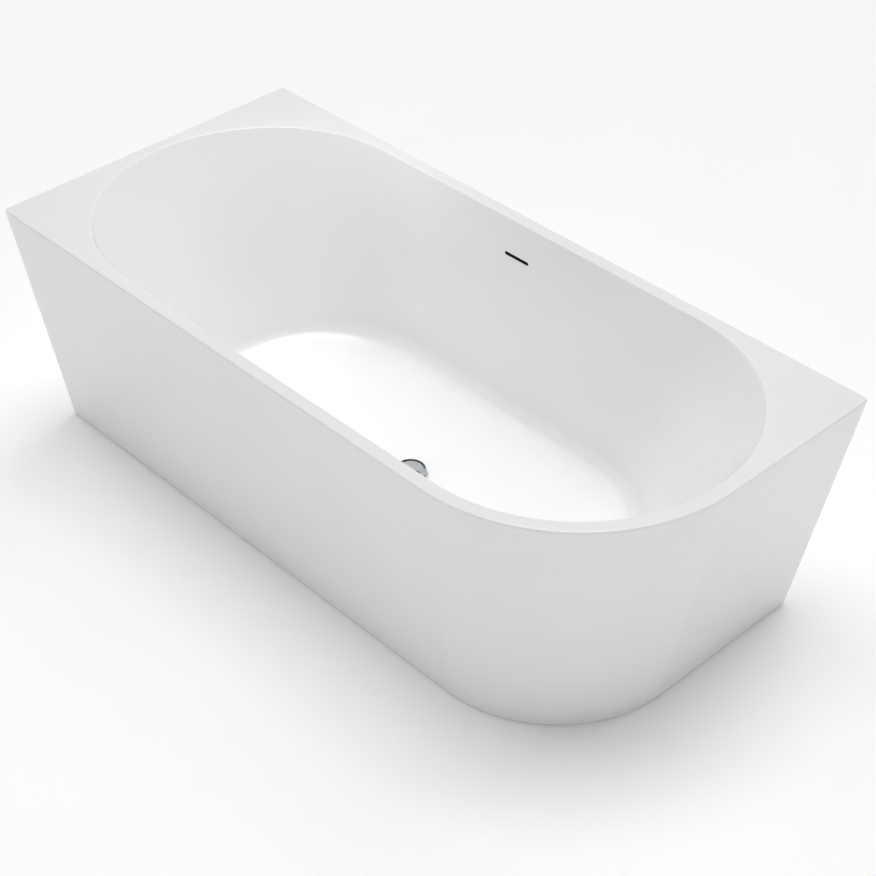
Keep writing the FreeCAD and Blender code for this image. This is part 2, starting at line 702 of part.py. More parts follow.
def make_waste():
    """The bath waste: rim and tube above, body below, with gaskets either side of the basin floor."""
    rim_low = f"{WASTE_SEAT} + top_gasket"
    rim_top = f"{WASTE_SEAT} + waste_rim_height"
    tube_low = f"{WASTE_SEAT} - waste_tube_length"
    ledge = f"{WASTE_SEAT} - guide_ledge"
    underside = f"({WASTE_SEAT} - sheet)"
    ring("waste_top_gasket", "waste_tube_radius + seal_gap", "waste_rim_radius - 1", WASTE_SEAT, rim_low)
    flange = new_body("waste_flange")
    revolve(flange, [("waste_tube_radius", rim_low), ("waste_rim_radius", rim_low),
                     ("waste_rim_radius", f"{rim_top} - 0.6"), ("waste_rim_radius - 0.6", rim_top),
                     ("plug_bore_radius + 2", rim_top), ("plug_bore_radius", f"{rim_top} - 2"),
                     ("plug_bore_radius", ledge), ("waste_bore_radius", ledge),
                     ("waste_bore_radius", tube_low), ("waste_tube_radius", tube_low)])
    top = f"({underside} - bottom_gasket)"
    ring("waste_bottom_gasket", "waste_tube_radius + seal_gap", "recess_radius - 1", top, underside)
    body = new_body("waste_body")
    socket = "waste_tube_radius + close_fit"
    outside = "waste_tube_radius + body_wall"
    neck = "waste_tube_radius - 2"
    revolve(body, [(socket, top), ("recess_radius", top), ("recess_radius", f"{top} - body_flange"),
                   (outside, f"{top} - body_flange"), (outside, "trap_joint + 9"),
                   (neck, "trap_joint + 9"), (neck, "trap_joint + 4"),
                   ("waste_tube_radius", "trap_joint + 4"), ("waste_tube_radius", "trap_joint"),
                   ("dip_tube_radius", "trap_joint"), ("dip_tube_radius", f"{tube_low} - 2"),
                   (socket, f"{tube_low} - 2")])
    barb = new_sketch(body, "inlet_barb", "YZ_Plane", "waste_tube_radius + 1")
    add_circle(barb, "0", "inlet_height", BARB_RADIUS)
    pad(body, barb, "hose_end + barb_length - waste_tube_radius - 1")
    bore = new_sketch(body, "inlet_bore", "YZ_Plane", "hose_end + barb_length + 1")
    add_circle(bore, "0", "inlet_height", f"{BARB_RADIUS} - barb_wall")
    cut(body, bore, "hose_end + barb_length + 1")
    place(body, turn=f"atan2(hose_line; {SLOT_CENTRE})")


def make_plug():
    """The click-clack plug: cap, seal and stem that press down, and the guide and spring that carry them."""
    rest = f"({WASTE_SEAT} + cap_boss_depth + plug_travel)"
    boss_low = f"({rest} - cap_boss_depth)"
    stem_bore = "stem_radius + close_fit"
    cap_top = f"({rest} + cap_depth)"
    cap = new_body("plug_cap")
    revolve(cap, [(stem_bore, boss_low), ("cap_boss_radius", boss_low), ("cap_boss_radius", rest),
                  ("cap_radius - 1.2", rest),
                  ("cap_radius", f"{rest} + 1.2"), ("cap_radius", f"{cap_top} - 2"),
                  ("cap_radius - 0.6", f"{cap_top} - 0.6"), ("cap_radius - 2", cap_top), ("0", cap_top),
                  ("0", f"{rest} + 1"), (stem_bore, f"{rest} + 1")])
    ring("plug_seal", "cap_boss_radius + 0.2", "plug_bore_radius - 0.3", f"{rest} - plug_seal_depth", rest)
    guide_low = f"({WASTE_SEAT} - guide_ledge)"
    hub_low = f"({guide_low} - guide_depth)"
    hub_top = f"({hub_low} + hub_depth)"
    stem = new_body("plug_stem")
    revolve(stem, [("0", f"{hub_low} - 4.5"), ("stem_radius + 1.5", f"{hub_low} - 4.5"),
                   ("stem_radius + 1.5", f"{hub_low} - 0.3"), ("stem_radius", f"{hub_low} - 0.3"),
                   ("stem_radius", f"{rest} + 0.9"), ("0", f"{rest} + 0.9")])
    guide = new_body("plug_guide")
    rim_radius = "plug_bore_radius - close_fit"
    rim_top = f"{guide_low} + guide_depth"
    revolve(guide, [("waste_bore_radius", guide_low), (rim_radius, guide_low),
                    (rim_radius, rim_top), ("waste_bore_radius", rim_top)], "rim")
    arms = new_sketch(guide, "guide_arms", level=guide_low)
    reach = "(waste_bore_radius + 0.5)"
    half = "guide_arm_half"
    add_polygon(arms, [(f"-{reach}", f"-{half}"), (f"-{half}", f"-{half}"), (f"-{half}", f"-{reach}"),
                       (half, f"-{reach}"), (half, f"-{half}"), (reach, f"-{half}"),
                       (reach, half), (half, half), (half, reach),
                       (f"-{half}", reach), (f"-{half}", half), (f"-{reach}", half)])
    pad(guide, arms, "guide_depth - 1")
    hub = new_sketch(guide, "guide_hub", level=hub_low)
    add_circle(hub, "0", "0", "stem_radius * 2")
    pad(guide, hub, "hub_depth")
    bore = new_sketch(guide, "guide_bore", level=f"{hub_top} + 1")
    add_circle(bore, "0", "0", "stem_radius + stem_gap")
    cut(guide, bore, "hub_depth + 2")
    spring = new_body("plug_spring")
    wire = new_sketch(spring, "spring_wire", "XZ_Plane")
    add_circle(wire, "spring_radius", f"{hub_top} + spring_wire_radius", "spring_wire_radius")
    doc.recompute()
    coil = spring.newObject("PartDesign::AdditiveHelix", "spring_coil")
    coil.Profile = wire
    coil.ReferenceAxis = (wire, ["V_Axis"])
    coil.Mode = 0
    length = f"({boss_low} - {hub_top} - spring_wire_radius * 2)"
    coil.setExpression("Height", linked(length))
    coil.setExpression("Pitch", linked(f"{length} / spring_turns"))


# ---------------------------------------------------------------- trap and outlet

def make_trap():
    """A shallow bath trap: a dip tube in a cup, held to the waste body by a union nut."""
    joint = "trap_joint"
    tube = new_body("dip_tube")
    inside = "dip_tube_radius - dip_tube_wall"
    lip = f"{joint} - washer"
    revolve(tube, [(inside, "trap_dip"), ("dip_tube_radius", "trap_dip"), ("dip_tube_radius", lip),
                   ("waste_tube_radius", lip), ("waste_tube_radius", joint), (inside, joint)])
    ring("trap_washer", "dip_tube_radius + 0.2", "waste_tube_radius + 0.5", f"{lip} - washer", lip)
    nut = new_body("trap_nut")
    thread = "waste_tube_radius + 1.1"
    revolve(nut, [(thread, f"{joint} - 10"), ("waste_tube_radius + 8", f"{joint} - 10"),
                  ("waste_tube_radius + 8", f"{joint} + 5"), ("waste_tube_radius + 7", f"{joint} + 6"),
                  ("waste_tube_radius - 1.8", f"{joint} + 6"), ("waste_tube_radius - 1.8", f"{joint} + 4"),
                  (thread, f"{joint} + 4")])
    cup = new_body("trap_cup")
    shoulder = f"({joint} - 11)"
    inside = "cup_radius - trap_wall"
    neck = "waste_tube_radius + 1"
    throat = "dip_tube_radius + 3"
    neck_top = f"{joint} - washer * 2"
    revolve(cup, [("0", "cup_low"), (inside, "cup_low"), ("cup_radius", "cup_low + trap_wall"),
                  ("cup_radius", f"{shoulder} - trap_wall"), (inside, shoulder), (neck, shoulder),
                  (neck, neck_top), (throat, neck_top), (throat, f"{shoulder} - trap_wall"),
                  (inside, f"{shoulder} - trap_wall"), (inside, "cup_low + trap_wall"),
                  ("0", "cup_low + trap_wall")])
    stub = new_sketch(cup, "outlet_stub", "XZ_Plane", "-stub_end")
    add_circle(stub, "0", "outlet_height", "pipe_radius + stub_wall")
    pad(cup, stub, "stub_end - stub_root")
    bore = new_sketch(cup, "outlet_bore", "XZ_Plane", "-stub_end - 1")
    add_circle(bore, "0", "outlet_height", "pipe_radius + seal_gap")
    cut(cup, bore, "stub_end - stub_root + 5", along_normal=True)


def make_outlet():
    """The outlet pipe towards the wall and its compression ring and nut, all turned about the pipe's line."""
    inside = "pipe_radius - pipe_wall"
    step = "pipe_end - spigot_length"
    ring_bore = "pipe_radius + seal_gap"
    thread = "pipe_radius + stub_wall + seal_gap"
    lip = "pipe_radius + 0.6"
    pieces = {
        "outlet_pipe": [(inside, "stub_end - 24"), ("pipe_radius", "stub_end - 24"), ("pipe_radius", step),
                        ("spigot_radius", step), ("spigot_radius", "pipe_end"), (inside, "pipe_end")],
        "outlet_ring": [(ring_bore, "stub_end"), ("pipe_radius + stub_wall", "stub_end"),
                        ("pipe_radius + 1.6", "stub_end + 4"), (ring_bore, "stub_end + 4")],
        "outlet_nut": [(thread, "stub_end - 12"), ("outlet_nut_radius", "stub_end - 12"),
                       ("outlet_nut_radius", "stub_end + 6"), ("outlet_nut_radius - 2", "stub_end + 8"),
                       (lip, "stub_end + 8"), (lip, "stub_end + 4"), (thread, "stub_end + 4")],
    }
    for label, outline in pieces.items():
        body = new_body(label)
        revolve(body, outline)
        body.Placement.Rotation = FreeCAD.Rotation(FreeCAD.Vector(1, 0, 0), -90)
        place(body, up="outlet_height")


# ---------------------------------------------------------------- overflow

def make_overflow():
    """The overflow behind the slot: seal, box, hose to the waste body and a clip at each end."""
    def behind(height, gap):
        return f"({basin_side(height)} + sheet + basin_laminate_depth + {gap})"

    span = "box_half_width * 2"
    start = f"{SLOT_CENTRE} - box_half_width"
    seal = [(behind("box_low", "0"), "box_low"), (behind("box_low", "overflow_gasket"), "box_low"),
            (behind("box_top", "overflow_gasket"), "box_top"), (behind("box_top", "0"), "box_top")]
    seal_body = bar_of("overflow_seal", "YZ_Plane", seal, start, span)
    window_low = "box_low + box_wall"
    window_top = "box_top - box_wall"
    window = new_sketch(seal_body, "seal_window", "XZ_Plane", "-box_back")
    half = "(box_half_width - box_wall)"
    opening = [(f"{SLOT_CENTRE} - {half}", window_low), (f"{SLOT_CENTRE} + {half}", window_low),
               (f"{SLOT_CENTRE} + {half}", window_top), (f"{SLOT_CENTRE} - {half}", window_top)]
    add_polygon(window, opening)
    cut(seal_body, window, "rim_width * 2", along_normal=True)
    shell = [(behind("box_low", "overflow_gasket"), "box_low"), ("box_back", "box_low"),
             ("box_back", "box_top"), (behind("box_top", "overflow_gasket"), "box_top")]
    box = bar_of("overflow_box", "YZ_Plane", shell, start, span)
    hollow = new_sketch(box, "box_hollow", "XZ_Plane", "-box_back + box_wall")
    add_polygon(hollow, opening)
    cut(box, hollow, "rim_width * 2", along_normal=True)
    spigot = new_sketch(box, "box_spigot", level="hose_top - hose_end / 2")
    add_circle(spigot, SLOT_CENTRE, "hose_line", BARB_RADIUS)
    pad(box, spigot, f"{window_low} - hose_top + hose_end / 2 - 1")
    drain = new_sketch(box, "box_drain", level=f"{window_low} + 1")
    add_circle(drain, SLOT_CENTRE, "hose_line", f"{BARB_RADIUS} - barb_wall")
    cut(box, drain, "box_low - hose_top + hose_end")
    make_hose()
    make_clip("hose_clip_top", FreeCAD.Rotation(), SLOT_CENTRE, "hose_line", "hose_top - clip_half - 3.5")
    hose_direction = FreeCAD.Vector(number(SLOT_CENTRE), number("hose_line"), 0)
    along_hose = FreeCAD.Rotation(FreeCAD.Vector(0, 0, 1), hose_direction)
    share = f"(hose_end + clip_half + 0.5) / {HOSE_RUN}"
    across = f"{SLOT_CENTRE} * {share}"
    along = f"hose_line * {share}"
    make_clip("hose_clip_bottom", along_hose, across, along, "inlet_height")


def make_hose():
    """Overflow hose: straight down from the box, one large bend, then level to the waste body."""
    body = new_body("overflow_hose")
    run = number(HOSE_RUN)
    path = new_sketch(body, "hose_path", "XZ_Plane")
    bend, low, high = number("hose_bend_radius"), number("inlet_height"), number("hose_top")
    start = FreeCAD.Vector(run, high, 0)
    knee_top = FreeCAD.Vector(run, low + bend, 0)
    knee_end = FreeCAD.Vector(run - bend, low, 0)
    end = FreeCAD.Vector(number("hose_end"), low, 0)
    circle = Part.Circle(FreeCAD.Vector(run - bend, low + bend, 0), FreeCAD.Vector(0, 0, 1), bend)
    path.addGeometry(Part.LineSegment(start, knee_top))
    path.addGeometry(Part.ArcOfCircle(circle, -math.pi / 2, 0))
    path.addGeometry(Part.LineSegment(knee_end, end))
    path.addConstraint(Sketcher.Constraint("Tangent", 0, 2, 1, 2))
    path.addConstraint(Sketcher.Constraint("Tangent", 1, 1, 2, 1))
    path.addConstraint(Sketcher.Constraint("Vertical", 0))
    path.addConstraint(Sketcher.Constraint("Horizontal", 2))
    bind(path, "Radius", (1,), "hose_bend_radius")
    pin(path, 0, 1, HOSE_RUN, "hose_top")
    pin(path, 2, 2, "hose_end", "inlet_height")
    section = new_sketch(body, "hose_section", level="hose_top")
    for radius in ("hose_radius", "hose_bore_radius"):
        add_circle(section, HOSE_RUN, "0", radius)
    doc.recompute()
    pipe = body.newObject("PartDesign::AdditivePipe", "hose_tube")
    pipe.Profile = section
    pipe.Spine = (path, ["Edge1", "Edge2", "Edge3"])
    place(body, turn=f"atan2(hose_line; {SLOT_CENTRE})")
    doc.recompute()
    ring_area = math.pi * (number("hose_radius") ** 2 - number("hose_bore_radius") ** 2)
    length = (high - low - bend) + math.pi / 2 * bend + (run - bend - number("hose_end"))
    if abs(body.Shape.Volume - ring_area * length) > 0.001 * ring_area * length:
        raise RuntimeError("the overflow hose does not fill its route")


def make_clip(label, rotation, across, along, up):
    """A worm-drive clip: a band with its screw housing."""
    body = new_body(label)
    inside = "hose_radius + seal_gap"
    outside = f"{inside} + clip_band"
    revolve(body, [(inside, "-clip_half"), (outside, "-clip_half"),
                   (outside, "clip_half"), (inside, "clip_half")])
    housing = new_sketch(body, f"{label}_housing", level="-clip_half + 0.5")
    root = f"{inside} + clip_band / 2"
    tip = "hose_radius + clip_screw"
    add_polygon(housing, [(root, "-5"), (tip, "-5"), (tip, "5"), (root, "5")])
    pad(body, housing, "clip_half * 2 - 1")
    body.Placement.Rotation = rotation
    place(body, across, along, up)


make_tub_shell()
make_basin_laminate()
make_skirt("skirt_shell", "0", "sheet", "floor_gap", SEAM, True)
make_skirt("skirt_laminate", "sheet", "skirt_laminate_depth", "floor_gap + 4", f"({SEAM} - sheet)", False)
make_base_board()
make_battens()
make_cradle_bars()
make_bar_screws()
make_brackets()
make_feet()
make_waste()
make_plug()
make_trap()
make_outlet()
make_overflow()

doc.recompute()
for item in doc.Objects:
    if "Invalid" in item.State or "Error" in item.State:
        raise RuntimeError(f"{item.Name} failed: {item.State}")
for part in parts:
    if part.Shape.isNull() or not part.Shape.isValid():
        raise RuntimeError(f"{part.Label} has no valid shape")

os.makedirs("parts", exist_ok=True)
for part in parts:
    part.Shape.exportStep(f"parts/{part.Label}.step")
    box = part.Shape.BoundBox
    print(f"{part.Label}: {len(part.Shape.Solids)} solid, {part.Shape.Volume / 1000:.1f} cm3, "
          f"z {box.ZMin:.1f} to {box.ZMax:.1f}")
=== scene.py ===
"""Looks of the skirted corner bath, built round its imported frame. Metres, +Z up, walls at -X and +Y."""

import json
import math

import bmesh
import bpy
from mathutils import Matrix, Vector, noise as noise_tools


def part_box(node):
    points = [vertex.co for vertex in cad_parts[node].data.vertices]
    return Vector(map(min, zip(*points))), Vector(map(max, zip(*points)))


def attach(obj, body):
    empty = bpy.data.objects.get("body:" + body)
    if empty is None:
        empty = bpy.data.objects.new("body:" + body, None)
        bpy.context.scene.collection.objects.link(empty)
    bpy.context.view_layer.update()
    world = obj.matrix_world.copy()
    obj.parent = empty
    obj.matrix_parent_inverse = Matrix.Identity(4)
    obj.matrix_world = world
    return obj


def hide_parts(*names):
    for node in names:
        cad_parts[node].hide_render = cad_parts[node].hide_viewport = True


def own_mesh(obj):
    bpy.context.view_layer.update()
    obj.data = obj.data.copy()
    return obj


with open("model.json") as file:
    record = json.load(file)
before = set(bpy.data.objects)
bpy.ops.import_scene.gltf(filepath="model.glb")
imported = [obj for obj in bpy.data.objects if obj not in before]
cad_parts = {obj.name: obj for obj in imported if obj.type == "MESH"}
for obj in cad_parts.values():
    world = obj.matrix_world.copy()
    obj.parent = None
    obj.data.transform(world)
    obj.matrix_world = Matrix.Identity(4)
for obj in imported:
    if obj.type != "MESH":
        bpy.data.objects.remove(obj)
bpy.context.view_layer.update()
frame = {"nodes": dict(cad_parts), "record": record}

# ---------------------------------------------------------------- sizes

tub_low, tub_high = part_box("tub_shell")
SHEET = 0.005
BACKING = 0.004
BACKING_SETBACK = 0.012
SKIRT_BACKING = 0.003
SEAM = tub_high.z - SHEET
HALF_LENGTH = tub_high.x
HALF_WIDTH = tub_high.y
UPRIGHT_EDGE = 0.008
RIM_EDGE = 0.004
RIM_WIDTH = 0.030
RIM_CORNER = HALF_WIDTH
MOUTH_RADIUS = HALF_WIDTH - RIM_WIDTH
MOUTH_CENTRE = HALF_LENGTH - RIM_WIDTH - MOUTH_RADIUS
FLOOR = 0.145
FLOOR_RADIUS = 0.300
FLOOR_LEFT = -0.298
FLOOR_RIGHT = 0.250
FLOOR_BEND = 0.050
DEPTH = tub_high.z - FLOOR
WALL_STRETCH = math.hypot(1, (MOUTH_RADIUS - FLOOR_RADIUS) / DEPTH)
FALL = 0.003
FALL_RADIUS = 0.060
FALL_CENTRE = 0.010
RECESS_RADIUS = 0.037
RECESS_DEPTH = 0.003
WASTE_HOLE = 0.026
WASTE_SEAT = FLOOR - FALL - RECESS_DEPTH
SLOT_X = -0.034
SLOT_Z = 0.517
SLOT_LENGTH = 0.070
SLOT_WIDTH = 0.008
PANEL_HALF = 0.055         # half the length of the wall's flat panel that the slot is cut in
PANEL_LOW = SLOT_Z - FLOOR - 0.022
PANEL_HIGH = SLOT_Z - FLOOR + 0.022
FRONT_INSET = 0.093
END_INSET = 0.125
BASE_CORNER = 0.302
FLOOR_GAP = 0.002
FLANGE = 0.014
CUTOUT_LEFT = -0.170
CUTOUT_RIGHT = 0.130
CUTOUT_TOP = 0.130
RIGHT_ANGLE = math.pi / 2
TURN = 2 * math.pi


# ---------------------------------------------------------------- materials

def material(name, base, roughness, metallic=0.0, **sockets):
    """A Principled material; extra sockets are given by name with underscores for spaces."""
    made = bpy.data.materials.new(name)
    made.use_nodes = True
    shader = made.node_tree.nodes["Principled BSDF"]
    shader.inputs["Base Color"].default_value = (*base, 1)
    shader.inputs["Roughness"].default_value = roughness
    shader.inputs["Metallic"].default_value = metallic
    for socket, value in sockets.items():
        shader.inputs[socket.replace("_", " ")].default_value = value
    made.diffuse_color = (*base, 1)
    return made


def add(made, kind, **inputs):
    """A node of a kind, its inputs set by name."""
    node = made.node_tree.nodes.new(f"ShaderNode{kind}")
    for socket, value in inputs.items():
        node.inputs[socket.replace("_", " ")].default_value = value
    return node


def place_in_metres(made, stretch=(1, 1, 1)):
    """The surface's own position, in metres, stretched along each axis."""
    where = add(made, "TexCoord")
    mapping = add(made, "Mapping", Scale=stretch)
    made.node_tree.links.new(where.outputs["Object"], mapping.inputs["Vector"])
    return mapping.outputs["Vector"]


def noise(made, scale, detail=3.0, roughness=0.5, stretch=(1, 1, 1)):
    """Noise with a given number of features to the metre."""
    node = add(made, "TexNoise", Scale=scale, Detail=detail, Roughness=roughness)
    made.node_tree.links.new(place_in_metres(made, stretch), node.inputs["Vector"])
    return node.outputs["Fac"]


def cells(made, scale, stretch=(1, 1, 1), output="Distance"):
    """Cell pattern with a given number of cells to the metre."""
    node = add(made, "TexVoronoi", Scale=scale)
    made.node_tree.links.new(place_in_metres(made, stretch), node.inputs["Vector"])
    return node.outputs[output]


def ramp(made, source, stops):
    """Colours or greys along a 0 to 1 value."""
    node = add(made, "ValToRGB")
    elements = node.color_ramp.elements
    while len(elements) < len(stops):
        elements.new(0.5)
    for element, (position, colour) in zip(elements, stops):
        element.position = position
        element.color = (*colour, 1) if isinstance(colour, tuple) else (colour, colour, colour, 1)
    made.node_tree.links.new(source, node.inputs["Fac"])
    return node.outputs["Color"]


def blend_colours(made, factor, first, second, mode="MIX"):
    """One colour output mixed with another."""
    node = made.node_tree.nodes.new("ShaderNodeMix")
    node.data_type = "RGBA"
    node.blend_type = mode
    for value, socket in ((factor, node.inputs[0]), (first, node.inputs[6]), (second, node.inputs[7])):
        if isinstance(value, bpy.types.NodeSocket):
            made.node_tree.links.new(value, socket)
        elif isinstance(value, tuple):
            socket.default_value = (*value, 1)
        else:
            socket.default_value = value
    return node.outputs[2]


def into(made, source, socket):
    """Link a value to one of the shader's own sockets."""
    made.node_tree.links.new(source, made.node_tree.nodes["Principled BSDF"].inputs[socket])


def bump(made, height, distance, strength=1.0):
    """Relief of a height in metres, added on top of any the material already has."""
    shader = made.node_tree.nodes["Principled BSDF"]
    node = add(made, "Bump", Strength=strength, Distance=distance)
    made.node_tree.links.new(height, node.inputs["Height"])
    if shader.inputs["Normal"].links:
        made.node_tree.links.new(shader.inputs["Normal"].links[0].from_socket, node.inputs["Normal"])
    made.node_tree.links.new(node.outputs["Normal"], shader.inputs["Normal"])


def acrylic():
    """Glossy white sanitary acrylic: faint waviness of the formed sheet and a trace of tone variation."""
    made = material("acrylic", (0.92, 0.925, 0.93), 0.16, IOR=1.49, Coat_Weight=0.25, Coat_Roughness=0.06)
    tone = ramp(made, noise(made, 5, 2), [(0.3, (0.905, 0.912, 0.922)), (0.7, (0.925, 0.928, 0.932))])
    into(made, tone, "Base Color")
    into(made, ramp(made, noise(made, 40, 4), [(0.3, 0.13), (0.75, 0.21)]), "Roughness")
    bump(made, noise(made, 9, 2), 0.0006, 0.25)
    bump(made, noise(made, 260, 2), 0.00003, 0.5)
    return made


def laminate():
    """Glass-fibre backing: chopped strands lying in cured, slightly green resin, rolled out by hand."""
    made = material("laminate", (0.72, 0.75, 0.62), 0.45, IOR=1.55)
    strands = [noise(made, 60, 4, 0.65, stretch) for stretch in ((9, 1.2, 1.2), (1.2, 9, 1.2), (1.2, 1.2, 9))]
    mesh = blend_colours(made, 0.5, strands[0], strands[1], "LIGHTEN")
    mesh = blend_colours(made, 0.5, mesh, strands[2], "LIGHTEN")
    resin = ramp(made, noise(made, 7, 5), [(0.3, (0.55, 0.58, 0.42)), (0.7, (0.74, 0.75, 0.63))])
    fibre = ramp(made, mesh, [(0.46, (0, 0, 0)), (0.62, (1, 1, 1))])
    into(made, blend_colours(made, fibre, resin, (0.84, 0.85, 0.78)), "Base Color")
    into(made, ramp(made, mesh, [(0.4, 0.28), (0.65, 0.6)]), "Roughness")
    bump(made, mesh, 0.0012, 0.8)
    bump(made, noise(made, 25, 4), 0.0015, 0.5)
    return made


def particle_board():
    """Raw particle board: pressed flakes of mixed browns."""
    made = material("particle_board", (0.55, 0.40, 0.25), 0.8)
    flakes = cells(made, 260, stretch=(1, 1.7, 1), output="Color")
    grey = add(made, "RGBToBW")
    made.node_tree.links.new(flakes, grey.inputs["Color"])
    colours = [(0.1, (0.36, 0.23, 0.12)), (0.5, (0.58, 0.42, 0.26)), (0.9, (0.74, 0.60, 0.42))]
    into(made, ramp(made, grey.outputs["Val"], colours), "Base Color")
    bump(made, cells(made, 260, stretch=(1, 1.7, 1)), 0.0004, 0.6)
    return made


def plywood():
    """Sawn plywood strips: long grain along the strip and dark glue lines between the plies."""
    made = material("plywood", (0.66, 0.50, 0.32), 0.7)
    grain = noise(made, 60, 6, 0.6, (0.05, 1, 1))
    browns = [(0.3, (0.46, 0.31, 0.17)), (0.55, (0.66, 0.49, 0.31)), (0.8, (0.76, 0.61, 0.43))]
    wood = ramp(made, grain, browns)
    lines = add(made, "TexWave", Scale=55.0, Distortion=0.6, Detail=1.0)
    lines.bands_direction = "Z"
    made.node_tree.links.new(place_in_metres(made), lines.inputs["Vector"])
    glue = ramp(made, lines.outputs["Fac"], [(0.0, 0.62), (0.12, 1.0)])
    into(made, blend_colours(made, 1.0, wood, glue, "MULTIPLY"), "Base Color")
    bump(made, grain, 0.0003, 0.5)
    return made


def galvanised():
    """Hot-dip galvanised steel: grey spangle crystals with white bloom."""
    made = material("galvanised", (0.6, 0.61, 0.62), 0.38, 1.0)
    crystal = cells(made, 90, output="Color")
    grey = add(made, "RGBToBW")
    made.node_tree.links.new(crystal, grey.inputs["Color"])
    greys = [(0.1, (0.46, 0.48, 0.5)), (0.9, (0.74, 0.75, 0.76))]
    into(made, ramp(made, grey.outputs["Val"], greys), "Base Color")
    into(made, ramp(made, grey.outputs["Val"], [(0.1, 0.3), (0.9, 0.52)]), "Roughness")
    bump(made, noise(made, 300, 3), 0.00004, 0.5)
    return made


def metal(name, dark, light, low, high, stretch, scale=400):
    """Plated or turned metal with fine tool marks."""
    made = material(name, light, low, 1.0)
    marks = noise(made, scale, 4, 0.6, stretch)
    into(made, ramp(made, marks, [(0.3, dark), (0.7, light)]), "Base Color")
    into(made, ramp(made, noise(made, 120, 3), [(0.3, low), (0.7, high)]), "Roughness")
    bump(made, marks, 0.00002, 0.4)
    return made


def plastic(name, dark, light, low, high, grain=0.00002):
    """Moulded plastic with a fine moulded grain."""
    made = material(name, light, low, IOR=1.5)
    into(made, ramp(made, noise(made, 30, 4), [(0.3, dark), (0.7, light)]), "Base Color")
    into(made, ramp(made, noise(made, 200, 3), [(0.3, low), (0.7, high)]), "Roughness")
    bump(made, noise(made, 1500, 2), grain, 0.6)
    return made


MATERIALS = {
    "acrylic": acrylic(),
    "laminate": laminate(),
    "board": particle_board(),
    "batten": plywood(),
    "zinc_steel": galvanised(),
    "zinc_screw": metal("zinc_plate", (0.58, 0.58, 0.55), (0.74, 0.73, 0.68), 0.22, 0.36, (1, 1, 6)),
    "rubber": plastic("rubber", (0.020, 0.020, 0.021), (0.034, 0.034, 0.035), 0.62, 0.8, 0.00005),
    "chrome": metal("chrome", (0.60, 0.61, 0.62), (0.64, 0.65, 0.66), 0.05, 0.11, (1, 1, 1), 60),
    "brass": metal("brass", (0.66, 0.50, 0.22), (0.80, 0.64, 0.32), 0.20, 0.32, (1, 1, 8)),
    "spring_steel": metal("spring_steel", (0.55, 0.56, 0.57), (0.7, 0.71, 0.72), 0.2, 0.3, (1, 1, 4)),
    "white_plastic": plastic("white_polypropylene", (0.76, 0.76, 0.74), (0.82, 0.82, 0.80), 0.34, 0.46),
    "pipe_plastic": plastic("waste_pipe_plastic", (0.72, 0.73, 0.73), (0.78, 0.79, 0.79), 0.26, 0.36),
    "dark_plastic": plastic("charcoal_plastic", (0.030, 0.031, 0.033), (0.045, 0.046, 0.049), 0.42, 0.6),
    "hose_plastic": plastic("grey_hose_plastic", (0.30, 0.31, 0.32), (0.38, 0.39, 0.40), 0.36, 0.5),
    "stainless": metal("stainless", (0.60, 0.60, 0.60), (0.74, 0.74, 0.73), 0.16, 0.26, (1, 1, 10)),
    "foot_plastic": plastic("black_nylon", (0.022, 0.022, 0.024), (0.040, 0.040, 0.042), 0.45, 0.6),
}

for part in frame["record"]["subparts"]:
    for slot in frame["nodes"][part["node"]].material_slots:
        slot.link = "OBJECT"
        slot.material = MATERIALS[part["material_slot"]]


# ---------------------------------------------------------------- mesh tools

def skin(bm, rings, closed=False, left_open=lambda ring, index: False):
    """Quads between successive rings of points, but for those left open; returns the rows of vertices."""
    rows = [[bm.verts.new(point) for point in ring] for ring in rings]
    pairs = list(zip(rows, rows[1:]))
    if closed:
        pairs.append((rows[-1], rows[0]))
    for number, (row, following) in enumerate(pairs):
        for index, corner in enumerate(row):
            after = (index + 1) % len(row)
            if not left_open(number, index):
                bm.faces.new((corner, row[after], following[after], following[index]))
    return rows


def object_of(bm, name):
    """The finished mesh as an object in the scene."""
    mesh = bpy.data.meshes.new(name)
    bm.to_mesh(mesh)
    bm.free()
    made = bpy.data.objects.new(name, mesh)
    bpy.context.scene.collection.objects.link(made)
    return made


def piece_of(bm, name, body, slot, replaced=(), sharp=35):
    """A finished piece: smooth between its sharp edges, riding on its body and standing for its CAD nodes."""
    bmesh.ops.recalc_face_normals(bm, faces=bm.faces)
    for face in bm.faces:
        face.smooth = True
    for edge in bm.edges:
        edge.smooth = edge.calc_face_angle(math.pi) < math.radians(sharp)
    piece = object_of(bm, name)
    piece.data.materials.append(MATERIALS[slot])
    weighted = piece.modifiers.new("weighted", "WEIGHTED_NORMAL")
    weighted.keep_sharp = True
    weighted.weight = 100
    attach(piece, body)
    if replaced:
        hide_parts(*replaced)
    return piece


def mix(first, second, share):
    """A value a share of the way from the first to the second."""
    return first + (second - first) * share


def polar(centre, radius, angle, level):
    """The point at a radius and an angle round a centre, at a height."""
    return Vector((centre[0] + radius * math.cos(angle), centre[1] + radius * math.sin(angle), level))


def circle(radius, level, centre=(0, 0), count=72):
    """A level ring of points."""
    return [polar(centre, radius, TURN * step / count, level) for step in range(count)]


